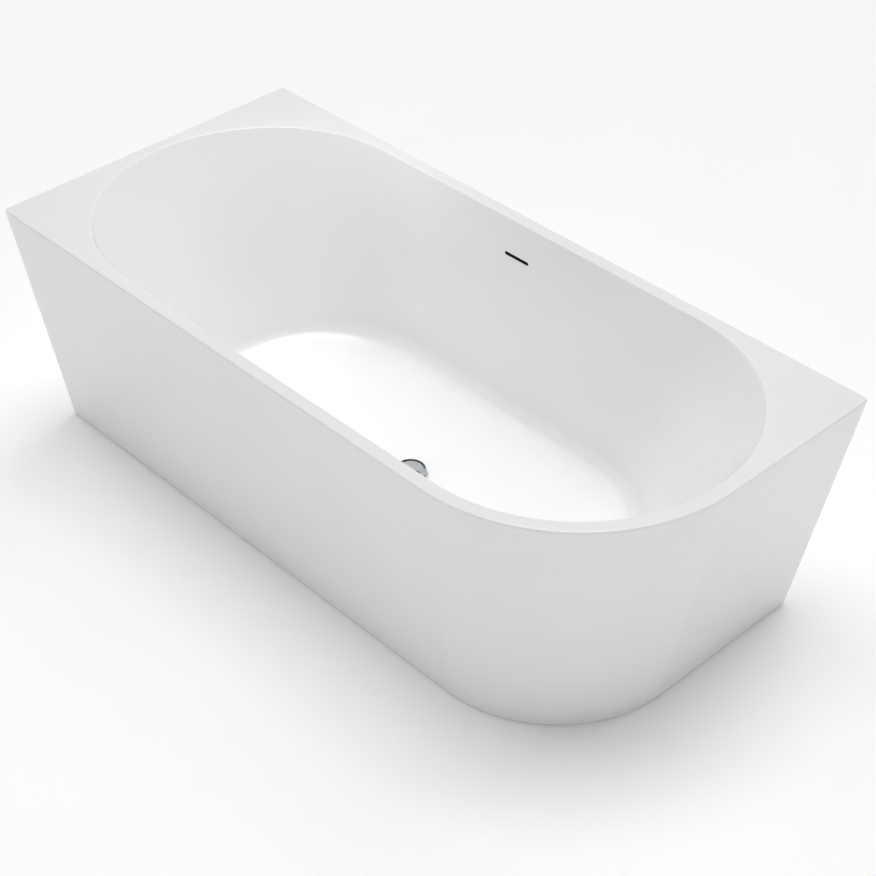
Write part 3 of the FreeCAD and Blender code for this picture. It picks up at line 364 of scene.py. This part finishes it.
def reach(origin, angle, box, corners):
    """The point where a ray meets a rectangle (x0, x1, y0, y1) whose corners (x, y, radius) are rounded."""
    x0, x1, y0, y1 = box
    dx, dy = math.cos(angle), math.sin(angle)
    across = ((x1 if dx > 0 else x0) - origin[0]) / dx if abs(dx) > 1e-9 else math.inf
    along = ((y1 if dy > 0 else y0) - origin[1]) / dy if abs(dy) > 1e-9 else math.inf
    far = min(across, along)
    x, y = origin[0] + far * dx, origin[1] + far * dy
    for corner_x, corner_y, radius in corners:
        side_x, side_y = math.copysign(1, corner_x), math.copysign(1, corner_y)
        if (x - corner_x) * side_x > 0 and (y - corner_y) * side_y > 0:
            from_x, from_y = origin[0] - corner_x, origin[1] - corner_y
            half = from_x * dx + from_y * dy
            far = -half + math.sqrt(max(half * half - from_x ** 2 - from_y ** 2 + radius ** 2, 0))
            return origin[0] + far * dx, origin[1] + far * dy
    return x, y


# ---------------------------------------------------------------- basin and rim

ARC_STEPS = 60
SIDE_STEPS = 10
BEND_STEPS = 12
EDGE_STEPS = 6
SLOT_STEPS = 12
ANGLE_GAP = 0.01           # stations closer than this in angle, or in share, are left out
SHARE_GAP = 0.03


def stations():
    """Places round the basin, each a share of the way between its end centres and a direction outwards.

    They are close together where the deck's outline turns its tight corners, and two of them bound the
    panel that the overflow slot is cut in. The shares of those two are returned as well.
    """
    corner = HALF_WIDTH - UPRIGHT_EDGE
    tight = []
    for step in range(EDGE_STEPS + 1):
        angle = RIGHT_ANGLE * step / EDGE_STEPS
        x = HALF_LENGTH - UPRIGHT_EDGE + UPRIGHT_EDGE * math.cos(angle) - MOUTH_CENTRE
        tight.append(math.atan2(corner + UPRIGHT_EDGE * math.sin(angle), x))
    even = [math.pi * step / ARC_STEPS - RIGHT_ANGLE for step in range(ARC_STEPS + 1)]
    spaced = [angle for angle in even if min(abs(angle - other) for other in tight) > ANGLE_GAP]
    right = sorted(spaced + tight)
    spaced = [angle for angle in spaced if min(abs(angle + other) for other in tight) > ANGLE_GAP]
    left = sorted(math.pi - angle for angle in spaced + tight + [-angle for angle in tight])
    left_end, right_end = end_centre(0, SLOT_Z - FLOOR), end_centre(1, SLOT_Z - FLOOR)
    slot_share = [(SLOT_X + shift - left_end) / (right_end - left_end) for shift in (PANEL_HALF, -PANEL_HALF)]
    back = [1 - step / SIDE_STEPS for step in range(1, SIDE_STEPS)]
    back = [share for share in back if min(abs(share - other) for other in slot_share) > SHARE_GAP]
    back = sorted(back + slot_share, reverse=True)
    front = [step / SIDE_STEPS for step in range(1, SIDE_STEPS)]
    return ([(1, angle) for angle in right] + [(share, RIGHT_ANGLE) for share in back]
            + [(0, angle) for angle in left] + [(share, -RIGHT_ANGLE) for share in front]), slot_share


def end_centre(share, above):
    """X of the basin's end centres, left at share 0 and right at share 1, at a height above the floor."""
    rise = above / DEPTH
    return mix(mix(FLOOR_LEFT, -MOUTH_CENTRE, rise), mix(FLOOR_RIGHT, MOUTH_CENTRE, rise), share)


def slope(share, angle):
    """How far the wall leans outwards for each metre up, along its own direction outwards."""
    shift = mix(-MOUTH_CENTRE - FLOOR_LEFT, MOUTH_CENTRE - FLOOR_RIGHT, share)
    return (shift * math.cos(angle) + MOUTH_RADIUS - FLOOR_RADIUS) / DEPTH


def wall_point(share, angle, above, grow):
    """A point on the wall's ruled surface, grown outwards."""
    radius = mix(FLOOR_RADIUS, MOUTH_RADIUS, above / DEPTH) + grow
    return polar((end_centre(share, above), 0), radius, angle, FLOOR + above)


def wall_ring(above, grow):
    """A ring round the wall, at a height above the floor."""
    return [wall_point(share, angle, above, grow) for share, angle in STATIONS]


def bend_ring(radius, base, thickness, share_of_bend):
    """A ring on the round between floor and wall, from the floor at 0 to the wall at 1."""
    ring = []
    for share, angle in STATIONS:
        lean = slope(share, angle)
        turn = -RIGHT_ANGLE + (RIGHT_ANGLE - math.atan(lean)) * share_of_bend
        middle = base + radius
        above = middle + radius * math.sin(turn)
        outwards = middle * lean + thickness - radius * math.hypot(1, lean) + radius * math.cos(turn)
        ring.append(wall_point(share, angle, above, outwards - lean * above))
    return ring


def bend_rings(radius, base, thickness):
    """The whole round between floor and wall, from the floor up."""
    return [bend_ring(radius, base, thickness, step / BEND_STEPS) for step in range(BEND_STEPS + 1)]


def rim_ring(share_of_edge):
    """A ring on the round between wall and deck, from the wall at 0 to the deck at 1."""
    ring = []
    for share, angle in STATIONS:
        lean = slope(share, angle)
        turn = mix(math.pi - math.atan(lean), RIGHT_ANGLE, share_of_edge)
        middle = DEPTH - RIM_EDGE
        above = middle + RIM_EDGE * math.sin(turn)
        outwards = lean * middle + RIM_EDGE * math.hypot(1, lean) + RIM_EDGE * math.cos(turn)
        ring.append(wall_point(share, angle, above, outwards - lean * above))
    return ring


def flat_ring(left, right, radius, level):
    """A level ring, round between its left and right centres."""
    return [polar((mix(left, right, share), 0), radius, angle, level) for share, angle in STATIONS]


def deck_ring(inset, level):
    """The bath's own outline, brought inwards."""
    tight = UPRIGHT_EDGE - inset
    x, y = HALF_LENGTH - UPRIGHT_EDGE, HALF_WIDTH - UPRIGHT_EDGE
    corners = [(x, y, tight), (-x, y, tight), (-x, -y, tight)]
    box = (inset - HALF_LENGTH, HALF_LENGTH - inset, inset - HALF_WIDTH, HALF_WIDTH - inset)
    ring = []
    for share, angle in STATIONS:
        origin = (mix(-MOUTH_CENTRE, MOUTH_CENTRE, share), 0)
        if share == 1 and angle < 0:
            far = RIM_CORNER - inset
            ring.append(polar(origin, far, angle, level))
        else:
            ring.append(Vector((*reach(origin, angle, box, corners), level)))
    return ring


def fall_rings(radius, level, count):
    """The floor's gentle fall to the waste, from its edge inwards."""
    rings = []
    for step in range(count + 1):
        share = step / count
        drop = FALL * (1 - math.cos(math.pi * share)) / 2
        rings.append(flat_ring(mix(FLOOR_LEFT, -FALL_CENTRE, share), mix(FLOOR_RIGHT, FALL_CENTRE, share),
                               mix(radius, FALL_RADIUS, share), level - drop))
    return rings


def slot_loop(bm, grow, depth):
    """The slot's outline, grown by a margin, at a depth behind the wall's face."""
    verts = []
    for end, first in ((1, -RIGHT_ANGLE), (-1, RIGHT_ANGLE)):
        for step in range(SLOT_STEPS + 1):
            angle = first + math.pi * step / SLOT_STEPS
            half = SLOT_WIDTH / 2 + grow
            x = SLOT_X + end * (SLOT_LENGTH - SLOT_WIDTH) / 2 + half * math.cos(angle)
            z = SLOT_Z + half * math.sin(angle)
            y = mix(FLOOR_RADIUS, MOUTH_RADIUS, (z - FLOOR) / DEPTH) + depth * WALL_STRETCH
            verts.append(bm.verts.new((x, y, z)))
    return verts


def stitch(bm, first, second):
    """Quads between two loops of the same number of vertices."""
    for index in range(len(first)):
        after = (index + 1) % len(first)
        bm.faces.new((first[index], first[after], second[after], second[index]))


def edges_of(loop):
    """The edges along a closed loop of vertices."""
    return [next(edge for edge in vert.link_edges if edge.other_vert(vert) == loop[(index + 1) % len(loop)])
            for index, vert in enumerate(loop)]


def open_slot(bm, front_rows, back_rows, loops):
    """The overflow slot, lined by the loops, through the panel that the rows leave for it."""
    right, left = [STATIONS.index((share, RIGHT_ANGLE)) for share in SLOT_SHARES]
    panels = []
    for low, high in (front_rows, back_rows):
        panel = [low[right], low[left], high[left], high[right]]
        panels.append(panel)
        doomed = [face for face in low[right].link_faces if all(vert in face.verts for vert in panel)]
        bmesh.ops.delete(bm, geom=doomed, context="FACES_ONLY")
    for first, second in zip(loops, loops[1:]):
        stitch(bm, first, second)
    for panel, loop in ((panels[0], loops[0]), (panels[1], loops[-1])):
        bmesh.ops.bridge_loops(bm, edges=edges_of(panel) + edges_of(loop))


def make_tub():
    """Basin, rim and underside as one closed skin."""
    bm = bmesh.new()
    lip = 0.0012
    quarter = [RIGHT_ANGLE * step / 5 for step in range(6)]
    floor_level = FLOOR - FALL
    rings = [deck_ring(0, SEAM)]
    for step in range(EDGE_STEPS + 1):
        turn = RIGHT_ANGLE * step / EDGE_STEPS
        rings.append(deck_ring(RIM_EDGE * (1 - math.cos(turn)), tub_high.z - RIM_EDGE * (1 - math.sin(turn))))
    rings += [rim_ring(1 - step / EDGE_STEPS) for step in range(EDGE_STEPS + 1)]
    front = len(rings)
    rings += [wall_ring(PANEL_HIGH, 0), wall_ring(PANEL_LOW, 0), wall_ring(DEPTH / 2, 0)]
    rings += reversed(bend_rings(FLOOR_BEND, 0, 0))
    rings += fall_rings(FLOOR_RADIUS - FLOOR_BEND - SHEET, FLOOR, 10)
    for turn in quarter:
        outwards, down = lip * (1 - math.sin(turn)), lip * (1 - math.cos(turn))
        rings.append(flat_ring(0, 0, RECESS_RADIUS + outwards, floor_level - down))
    for turn in quarter:
        inwards, up = lip * (1 - math.cos(turn)), lip * (1 - math.sin(turn))
        rings.append(flat_ring(0, 0, RECESS_RADIUS - inwards, WASTE_SEAT + up))
    rings += [flat_ring(0, 0, radius, level) for radius, level in (
        (WASTE_HOLE, WASTE_SEAT), (WASTE_HOLE, WASTE_SEAT - SHEET),
        (RECESS_RADIUS + SHEET, WASTE_SEAT - SHEET), (RECESS_RADIUS + SHEET, floor_level - SHEET))]
    rings += reversed(fall_rings(FLOOR_RADIUS - FLOOR_BEND - SHEET, FLOOR - SHEET, 6))
    rings += bend_rings(FLOOR_BEND + SHEET, -SHEET, SHEET)
    back = len(rings)
    rings += [wall_ring(above, SHEET) for above in (DEPTH / 2, PANEL_LOW, PANEL_HIGH, SEAM - FLOOR)]
    rows = skin(bm, rings, closed=True)
    loops = [slot_loop(bm, lip * (1 - math.sin(turn)), lip * (1 - math.cos(turn)))
             for turn in [RIGHT_ANGLE * step / 4 for step in range(5)]]
    loops.append(slot_loop(bm, 0, SHEET / WALL_STRETCH))
    open_slot(bm, (rows[front + 1], rows[front]), (rows[back + 1], rows[back + 2]), loops)
    piece_of(bm, "tub", "bath", "acrylic", ["tub_shell"])


def make_slot_shade_lining():
    """The overflow's dark throat, which lines the slot from just behind its lip. It is a dark plastic sleeve
    and also painted shade: it hides the slot's lit lower face so the whole slot reads dark.
    """
    bm = bmesh.new()
    front, back = 0.0014, (SHEET + BACKING) / WALL_STRETCH
    fit, wall = -0.0001, -0.0005
    loops = [slot_loop(bm, *place) for place in ((fit, front), (fit, back), (wall, back), (wall, front))]
    for first, second in zip(loops, loops[1:] + loops[:1]):
        stitch(bm, first, second)
    # The dark lining stands in for the shade inside the slot: painted shade.
    piece_of(bm, "overflow_throat_shade", "bath", "dark_plastic")


def rough_up(bm, rows, depth, grain):
    """Sink the rows unevenly into their own surface, as hand-laid glass fibre is uneven."""
    bmesh.ops.recalc_face_normals(bm, faces=bm.faces)
    bm.normal_update()
    for row in rows:
        for vert in row:
            vert.co -= vert.normal * depth * (0.5 + 0.5 * noise_tools.noise(vert.co / grain))


def make_basin_backing():
    """The glass-fibre backing that covers the basin's outside, flat below for the board."""
    bm = bmesh.new()
    outside = SHEET + BACKING
    board_top = FLOOR - FALL - SHEET - BACKING
    crown = SEAM - BACKING_SETBACK - FLOOR
    boss = RECESS_RADIUS + SHEET + 0.001
    rings = [wall_ring(above, outside) for above in (crown, PANEL_HIGH, PANEL_LOW)]
    rings += [wall_ring(mix(PANEL_LOW, DEPTH * 0.2, step / 16), outside) for step in range(1, 17)]
    rings += reversed(bend_rings(FLOOR_BEND + outside, board_top - FLOOR, outside))
    laid = len(rings) - 1
    rings += [flat_ring(0, 0, boss, board_top), flat_ring(0, 0, boss, FLOOR - FALL - SHEET)]
    rings += reversed(fall_rings(FLOOR_RADIUS - FLOOR_BEND - SHEET, FLOOR - SHEET, 6))
    rings += bend_rings(FLOOR_BEND + SHEET, -SHEET, SHEET)
    back = len(rings)
    rings += [wall_ring(above, SHEET) for above in (PANEL_LOW, PANEL_HIGH, crown)]
    rows = skin(bm, rings, closed=True)
    loops = [slot_loop(bm, 0.002, depth / WALL_STRETCH) for depth in (outside, SHEET)]
    open_slot(bm, (rows[2], rows[1]), (rows[back], rows[back + 1]), loops)
    rough_up(bm, rows[3:laid], 0.0012, 0.05)
    piece_of(bm, "basin_backing", "bath", "laminate", ["basin_laminate"])


# ---------------------------------------------------------------- skirt

def skirt_ring(inset, level):
    """The apron's outline at a height, and the index of its station at the cut-out's right-hand side."""
    lean = (SEAM - level) / SEAM
    x0, x1 = inset - HALF_LENGTH, HALF_LENGTH - END_INSET * lean - inset
    y0, y1 = FRONT_INSET * lean - HALF_WIDTH + inset, HALF_WIDTH - inset
    large = mix(RIM_CORNER, BASE_CORNER, lean) - inset
    tight = max(UPRIGHT_EDGE - inset, 0.001)
    corners = [(x1 - large, y0 + large, large, ARC_STEPS), (x1 - tight, y1 - tight, tight, EDGE_STEPS),
               (x0 + tight, y1 - tight, tight, EDGE_STEPS), (x0 + tight, y0 + tight, tight, EDGE_STEPS)]
    points = []
    for quarter, (x, y, radius, count) in enumerate(corners, start=-1):
        for step in range(count + 1):
            angle = RIGHT_ANGLE * (quarter + step / count)
            points.append((x + radius * math.cos(angle), y + radius * math.sin(angle)))
        if quarter == 0:
            cut_station = len(points) + 1
            points += [(mix(x, CUTOUT_RIGHT, 0.5), y1), (CUTOUT_RIGHT, y1), (CUTOUT_LEFT, y1),
                       (mix(x0, CUTOUT_LEFT, 0.5), y1)]
    return [Vector((*point, level)) for point in points], cut_station


def apron(places, cut_rings):
    """A closed skin through outlines at (inset, height), the first few of them left open at the cut-out."""
    bm = bmesh.new()
    station = skirt_ring(0, SEAM)[1]
    rows = skin(bm, [skirt_ring(*place)[0] for place in places], closed=True,
                left_open=lambda ring, index: ring < cut_rings - 1 and index == station)
    cut = rows[:cut_rings]
    bm.faces.new([row[station] for row in cut])
    bm.faces.new([row[station + 1] for row in cut])
    bm.faces.new((cut[0][station], cut[0][station + 1], cut[-1][station + 1], cut[-1][station]))
    return bm


def make_skirt():
    """The apron: its edges rounded, with a flange under the deck and a service cut-out in its back."""
    lip = 0.0015
    top = SEAM - SHEET
    places = [(0, CUTOUT_TOP), (0, FLOOR_GAP + lip), (lip * 0.3, FLOOR_GAP + lip * 0.3), (lip, FLOOR_GAP),
              (SHEET - lip, FLOOR_GAP), (SHEET - lip * 0.3, FLOOR_GAP + lip * 0.3), (SHEET, FLOOR_GAP + lip),
              (SHEET, CUTOUT_TOP)]
    cut_rings = len(places)
    places += [(SHEET, mix(CUTOUT_TOP, top, step / 4)) for step in range(1, 5)]
    places += [(SHEET + FLANGE, top), (SHEET + FLANGE, SEAM)]
    places += [(0, mix(SEAM, CUTOUT_TOP, step / 6)) for step in range(6)]
    piece_of(apron(places, cut_rings), "skirt", "bath", "acrylic", ["skirt_shell"])


def make_skirt_backing():
    """The glass-fibre backing inside the apron."""
    low = FLOOR_GAP + 0.004
    top = SEAM - SHEET
    inner = SHEET + SKIRT_BACKING
    places = [(SHEET, CUTOUT_TOP), (SHEET, low), (inner, low), (inner, CUTOUT_TOP)]
    places += [(inner, mix(CUTOUT_TOP, top, step / 6)) for step in range(1, 7)]
    places += [(SHEET, mix(top, CUTOUT_TOP, step / 6)) for step in range(6)]
    piece_of(apron(places, 4), "skirt_backing", "bath", "laminate", ["skirt_laminate"])


# ---------------------------------------------------------------- turned pieces

def rounded(points, steps=4):
    """An outline of (radius, height, rounding) with an arc in place of each corner that has a rounding."""
    outline = []
    count = len(points)
    for index, (radius, height, rounding) in enumerate(points):
        corner = Vector((radius, height))
        if not rounding:
            outline.append(corner)
            continue
        before = (Vector(points[index - 1][:2]) - corner).normalized()
        after = (Vector(points[(index + 1) % count][:2]) - corner).normalized()
        half = before.angle(after) / 2
        reach_back = rounding / math.tan(half)
        centre = corner + (before + after).normalized() * (rounding / math.sin(half))
        start = corner + before * reach_back - centre
        end = corner + after * reach_back - centre
        sweep = start.angle_signed(end)
        for step in range(steps + 1):
            outline.append(centre + Matrix.Rotation(-sweep * step / steps, 2) @ start)
    return outline


def lathe(bm, outline):
    """A closed outline of (radius, height) turned about the waste's upright axis."""
    skin(bm, [circle(radius, height, count=96) for radius, height in outline], closed=True)
    bmesh.ops.remove_doubles(bm, verts=bm.verts, dist=1e-7)
    bmesh.ops.dissolve_degenerate(bm, edges=bm.edges, dist=1e-8)


def make_plug_cap():
    """The polished cap: a very low dome with a soft edge, hollow for its stem."""
    low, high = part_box("plug_cap")
    bore, boss, boss_depth, dome = 0.00405, 0.008, 0.0033, 0.0009
    radius, rest = high.x, low.z + boss_depth
    crown = [(radius * math.sin(step / 8), high.z - dome * (1 - math.cos(step / 8 * 2.2)), 0)
             for step in range(1, 8)]
    points = [(bore, low.z, 0.0003), (boss, low.z, 0.0004), (boss, rest, 0.0003),
              (radius - 0.0012, rest, 0.0005), (radius, rest + 0.0012, 0.0008),
              (radius, high.z - 0.0020, 0.0012), (radius - 0.0022, high.z - 0.0008, 0.002)]
    points += [point for point in reversed(crown) if point[0] < radius - 0.006]
    points += [(0, high.z, 0), (0, rest + 0.001, 0), (bore, rest + 0.001, 0)]
    bm = bmesh.new()
    lathe(bm, rounded(points))
    piece_of(bm, "waste_plug_cap", "plug", "chrome", ["plug_cap"], 30)


def make_waste_flange():
    """The waste's polished rim and threaded tube."""
    low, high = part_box("waste_flange")
    radius, tube, mouth, bore, narrow = high.x, 0.025, 0.0245, 0.0225, 0.0205
    underside, step_level = WASTE_SEAT + 0.001, WASTE_SEAT - 0.017
    turns, pitch, thread_low = 10, 0.0015, low.z + 0.001
    root = tube - 0.0006
    points = [(tube, underside, 0.0003), (radius, underside, 0.0003),
              (radius, high.z - 0.0004, 0.0004), (radius - 0.0008, high.z, 0.0006), (mouth, high.z, 0.0008),
              (bore, high.z - 0.002, 0.0008), (bore, step_level, 0.0002),
              (narrow, step_level, 0.0002), (narrow, low.z, 0.0004), (root, low.z, 0.0004)]
    for turn in range(turns):
        height = thread_low + pitch * turn
        points += [(root, height, 0), (tube, height + pitch / 2, 0)]
    points += [(root, thread_low + pitch * turns, 0), (root, WASTE_SEAT - 0.011, 0),
               (tube, WASTE_SEAT - 0.0104, 0)]
    bm = bmesh.new()
    lathe(bm, rounded(points))
    piece_of(bm, "waste_rim", "bath", "chrome", ["waste_flange"], 30)


# ---------------------------------------------------------------- hose, spring and feet

def rings_along(places, radii, count):
    """At each place (point, direction, side) along a line, a ring square to it of the matching radius."""
    rings = []
    for (point, direction, side), radius in zip(places, radii):
        across = direction.cross(side).normalized()
        rings.append([point + (side * math.cos(angle) + across * math.sin(angle)) * radius
                      for angle in [TURN * step / count for step in range(count)]])
    return rings


def close_ends(bm, rows):
    """A face over each end of a skin."""
    bm.faces.new(rows[0])
    bm.faces.new(rows[-1])


def make_hose():
    """The corrugated overflow hose, plain at its ends: down, round one large bend and level to the waste."""
    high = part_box("overflow_hose")[1]
    radius, bore, bend, level = 0.012, 0.0095, 0.110, 0.103
    box_spout, waste_barb = 0.367, 0.045       # how far behind the waste's axis each end of the run lies
    line = Vector((SLOT_X, box_spout, 0))
    along = line.normalized()
    side = Vector((0, 0, 1)).cross(along)
    drop = high.z - level - bend
    arc = RIGHT_ANGLE * bend
    length = drop + arc + line.length - bend - waste_barb
    rib, groove, cuff, spacing = 0.0042, 0.0013, 0.022, 0.0007
    count = round(length / spacing)

    def place(distance):
        if distance < drop:
            return Vector((line.x, line.y, high.z - distance)), Vector((0, 0, -1)), side
        if distance < drop + arc:
            turn = (distance - drop) / bend
            centre = Vector((line.x, line.y, level + bend)) - along * bend
            return (centre + along * bend * math.cos(turn) - Vector((0, 0, bend * math.sin(turn))),
                    Vector((0, 0, -math.cos(turn))) - along * math.sin(turn), side)
        rest = distance - drop - arc
        return Vector((line.x, line.y, level)) - along * (bend + rest), -along, side

    places, radii = [], []
    for index in range(count + 1):
        distance = length * index / count
        fade = min(1, max(0, (min(distance, length - distance) - cuff) / rib))
        wave = 0.5 - 0.5 * math.cos(TURN * (distance - cuff) / rib)
        places.append(place(distance))
        radii.append(radius - groove * fade * (1 - wave) ** 1.5)
    for index in range(40, -1, -1):
        places.append(place(length * index / 40))
        radii.append(bore)
    bm = bmesh.new()
    skin(bm, rings_along(places, radii, 32), closed=True)
    piece_of(bm, "overflow_corrugated_hose", "bath", "hose_plastic", ["overflow_hose"], 50)


def make_spring():
    """The plug's coil spring, with its end turns lying flat."""
    low, high, play = 0.131, 0.149, 0.0002
    wire, coil, turns, per_turn = 0.0006, 0.0062, 6.5, 40
    count = int(turns * per_turn)
    places = []
    for index in range(count + 1):
        turn = TURN * index / per_turn
        share = min(1, max(0, (index / count * turns - 0.75) / (turns - 1.5)))
        height = mix(low + wire, high - wire, share)
        direction = Vector((-math.sin(turn), math.cos(turn), 0))
        places.append((polar((0, 0), coil, turn, height), direction, Vector((0, 0, 1))))
    bm = bmesh.new()
    close_ends(bm, skin(bm, rings_along(places, [wire] * len(places), 12)))
    spring = piece_of(bm, "waste_spring", "bath", "spring_steel", ["plug_spring"], 50)
    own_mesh(spring)


def hexagon_rings(corner_radius, low, high, centre, count=72):
    """Rings up a hexagon whose two ends are chamfered by a cone."""
    flat = corner_radius * math.cos(math.pi / 6)
    heights = [0, 0.0002, 0.0004, 0.0007, 0.0010]
    rings = []
    levels = [(low + depth, depth) for depth in heights]
    levels += [(high - depth, depth) for depth in reversed(heights)]
    for level, depth in levels:
        cone = flat * 0.96 + depth * 1.8
        ring = []
        for step in range(count):
            angle = TURN * step / count
            hexagon = flat / math.cos((angle + math.pi / 6) % (math.pi / 3) - math.pi / 6)
            ring.append(polar(centre, min(hexagon, cone), angle, level))
        rings.append(ring)
    return rings


def make_nuts(node, name):
    """Chamfered hexagon nuts in place of a node's four plain ones."""
    low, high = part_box(node)
    corner, bore, countersink, sink_depth = 0.011, 0.00605, 0.0067, 0.0006
    bm = bmesh.new()
    for centre in FEET:
        rings = [circle(bore, high.z - sink_depth, centre), circle(bore, low.z + sink_depth, centre),
                 circle(countersink, low.z, centre)]
        rings += hexagon_rings(corner, low.z, high.z, centre)
        rings.append(circle(countersink, high.z, centre))
        skin(bm, rings, closed=True)
    piece_of(bm, name, "bath", "zinc_screw", [node], 25)


def make_stud(number, centre):
    """An M12 stud with its thread cut, and the hexagon that a spanner turns it by."""
    node = f"foot_stud_{number}"
    low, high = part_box(node)
    crest, root, pitch, per_pitch = 0.0059, 0.0050, 0.00175, 8
    thread_low = low.z + 0.020
    count = 36
    bm = bmesh.new()
    rings = [circle(root - 0.0002, low.z, centre, count), circle(crest, low.z + 0.001, centre, count),
             circle(crest, low.z + 0.0128, centre, count)]
    rings += hexagon_rings(0.0098, low.z + 0.013, low.z + 0.019, centre, count)
    rings += [circle(crest, low.z + 0.0192, centre, count)]
    levels = round((high.z - 0.001 - thread_low) / pitch * per_pitch)
    for level in range(levels + 1):
        height = thread_low + pitch * level / per_pitch
        ring = []
        for step in range(count):
            phase = (height / pitch - step / count) % 1
            radius = mix(root, crest, min(1, max(0, 1.15 * (1 - abs(2 * phase - 1)))))
            ring.append(polar(centre, radius, TURN * step / count, height))
        rings.append(ring)
    rings.append(circle(root - 0.0003, high.z, centre, count))
    close_ends(bm, skin(bm, rings))
    piece_of(bm, f"levelling_stud_{number}", f"stud_{number}", "zinc_screw", [node], 60)


FEET = []
for number in range(1, 5):
    foot_low, foot_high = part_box(f"foot_pad_{number}")
    FEET.append(((foot_low.x + foot_high.x) / 2, (foot_low.y + foot_high.y) / 2))

STATIONS, SLOT_SHARES = stations()
make_tub()
make_slot_shade_lining()
make_basin_backing()
make_skirt()
make_skirt_backing()
make_plug_cap()
make_waste_flange()
make_hose()
make_spring()
make_nuts("weld_nuts", "bar_nuts")
make_nuts("lock_nuts", "stud_lock_nuts")
for number, centre in enumerate(FEET, start=1):
    make_stud(number, centre)

# ---------------------------------------------------------------- stage, light and camera

def make_stage():
    """A plain pale floor."""
    bm = bmesh.new()
    bmesh.ops.create_grid(bm, x_segments=8, y_segments=8, size=30)
    floor = object_of(bm, "floor")
    white = material("stage", (0.95, 0.95, 0.95), 0.9, Emission_Color=(1, 1, 1, 1), Emission_Strength=0.093)
    into(white, ramp(white, noise(white, 3, 2), [(0.3, (0.945, 0.945, 0.945)), (0.7, (0.955, 0.955, 0.955))]),
         "Base Color")
    floor.data.materials.append(white)


def lamp_of(name, kind, strength):
    """A lamp of a kind, in the scene."""
    light = bpy.data.lights.new(name, kind)
    light.energy = strength
    lamp = bpy.data.objects.new(name, light)
    bpy.context.scene.collection.objects.link(lamp)
    return lamp


def soft_sun(name, direction, strength):
    """A broad, even studio light from a direction."""
    lamp = lamp_of(name, "SUN", strength)
    lamp.data.angle = math.radians(40)
    lamp.rotation_euler = Vector(direction).to_track_quat("Z", "Y").to_euler()


def soft_ball(name, place, radius, strength):
    """A soft round lamp at a place, left out of mirror reflections."""
    lamp = lamp_of(name, "POINT", strength)
    lamp.data.shadow_soft_size = radius
    lamp.location = place
    lamp.visible_glossy = False


def make_camera():
    """The camera, with the lens and the viewing angle worked out from the photograph."""
    azimuth, elevation, roll = [math.radians(angle) for angle in (-42.943, 38.175, -0.773)]
    camera = bpy.data.objects.new("camera", bpy.data.cameras.new("camera"))
    bpy.context.scene.collection.objects.link(camera)
    camera.data.lens = 81.609
    camera.data.sensor_width = 36
    camera.location = (2.4589, -2.2060, 2.8364)
    turn = Matrix.Rotation(azimuth + RIGHT_ANGLE, 3, "Z") @ Matrix.Rotation(RIGHT_ANGLE - elevation, 3, "X")
    camera.rotation_euler = (turn @ Matrix.Rotation(roll, 3, "Z")).to_euler()
    camera.data.clip_end = 100
    bpy.context.scene.camera = camera


def make_world():
    """A pale studio round the object, dim overhead where the lamps take over."""
    world = bpy.data.worlds.new("studio")
    world.use_nodes = True
    tree = world.node_tree
    background = tree.nodes["Background"]
    where = tree.nodes.new("ShaderNodeTexCoord")
    split = tree.nodes.new("ShaderNodeSeparateXYZ")
    shades = tree.nodes.new("ShaderNodeValToRGB")
    stops = ((0.0, 0.48), (0.30, 0.48), (0.60, 0.0), (1.0, 0.06))
    for extra in stops[2:]:
        shades.color_ramp.elements.new(extra[0])
    for element, (position, grey) in zip(shades.color_ramp.elements, stops):
        element.position = position
        element.color = (grey, grey, grey, 1)
    tree.links.new(where.outputs["Generated"], split.inputs["Vector"])
    tree.links.new(split.outputs["Z"], shades.inputs["Fac"])
    tree.links.new(shades.outputs["Color"], background.inputs["Color"])
    background.inputs["Strength"].default_value = 1.0
    bpy.context.scene.world = world


make_stage()
make_world()
make_camera()
soft_sun("overhead", (0, 0, 1), 1.47)
soft_sun("left_fill", (-0.7, -0.2, 1), 0.41)
soft_sun("back_fill", (0, 0.6, 1), 0.67)
soft_ball("basin_lamp_left", (-0.45, 0.1, 0.8), 0.25, 1.83)
soft_ball("basin_lamp_right", (0.45, 0.1, 0.8), 0.25, 0.60)
soft_ball("front_lamp", (2.0, -1.6, 2.2), 0.6, 10.6)
bpy.context.scene.view_settings.view_transform = "Standard"
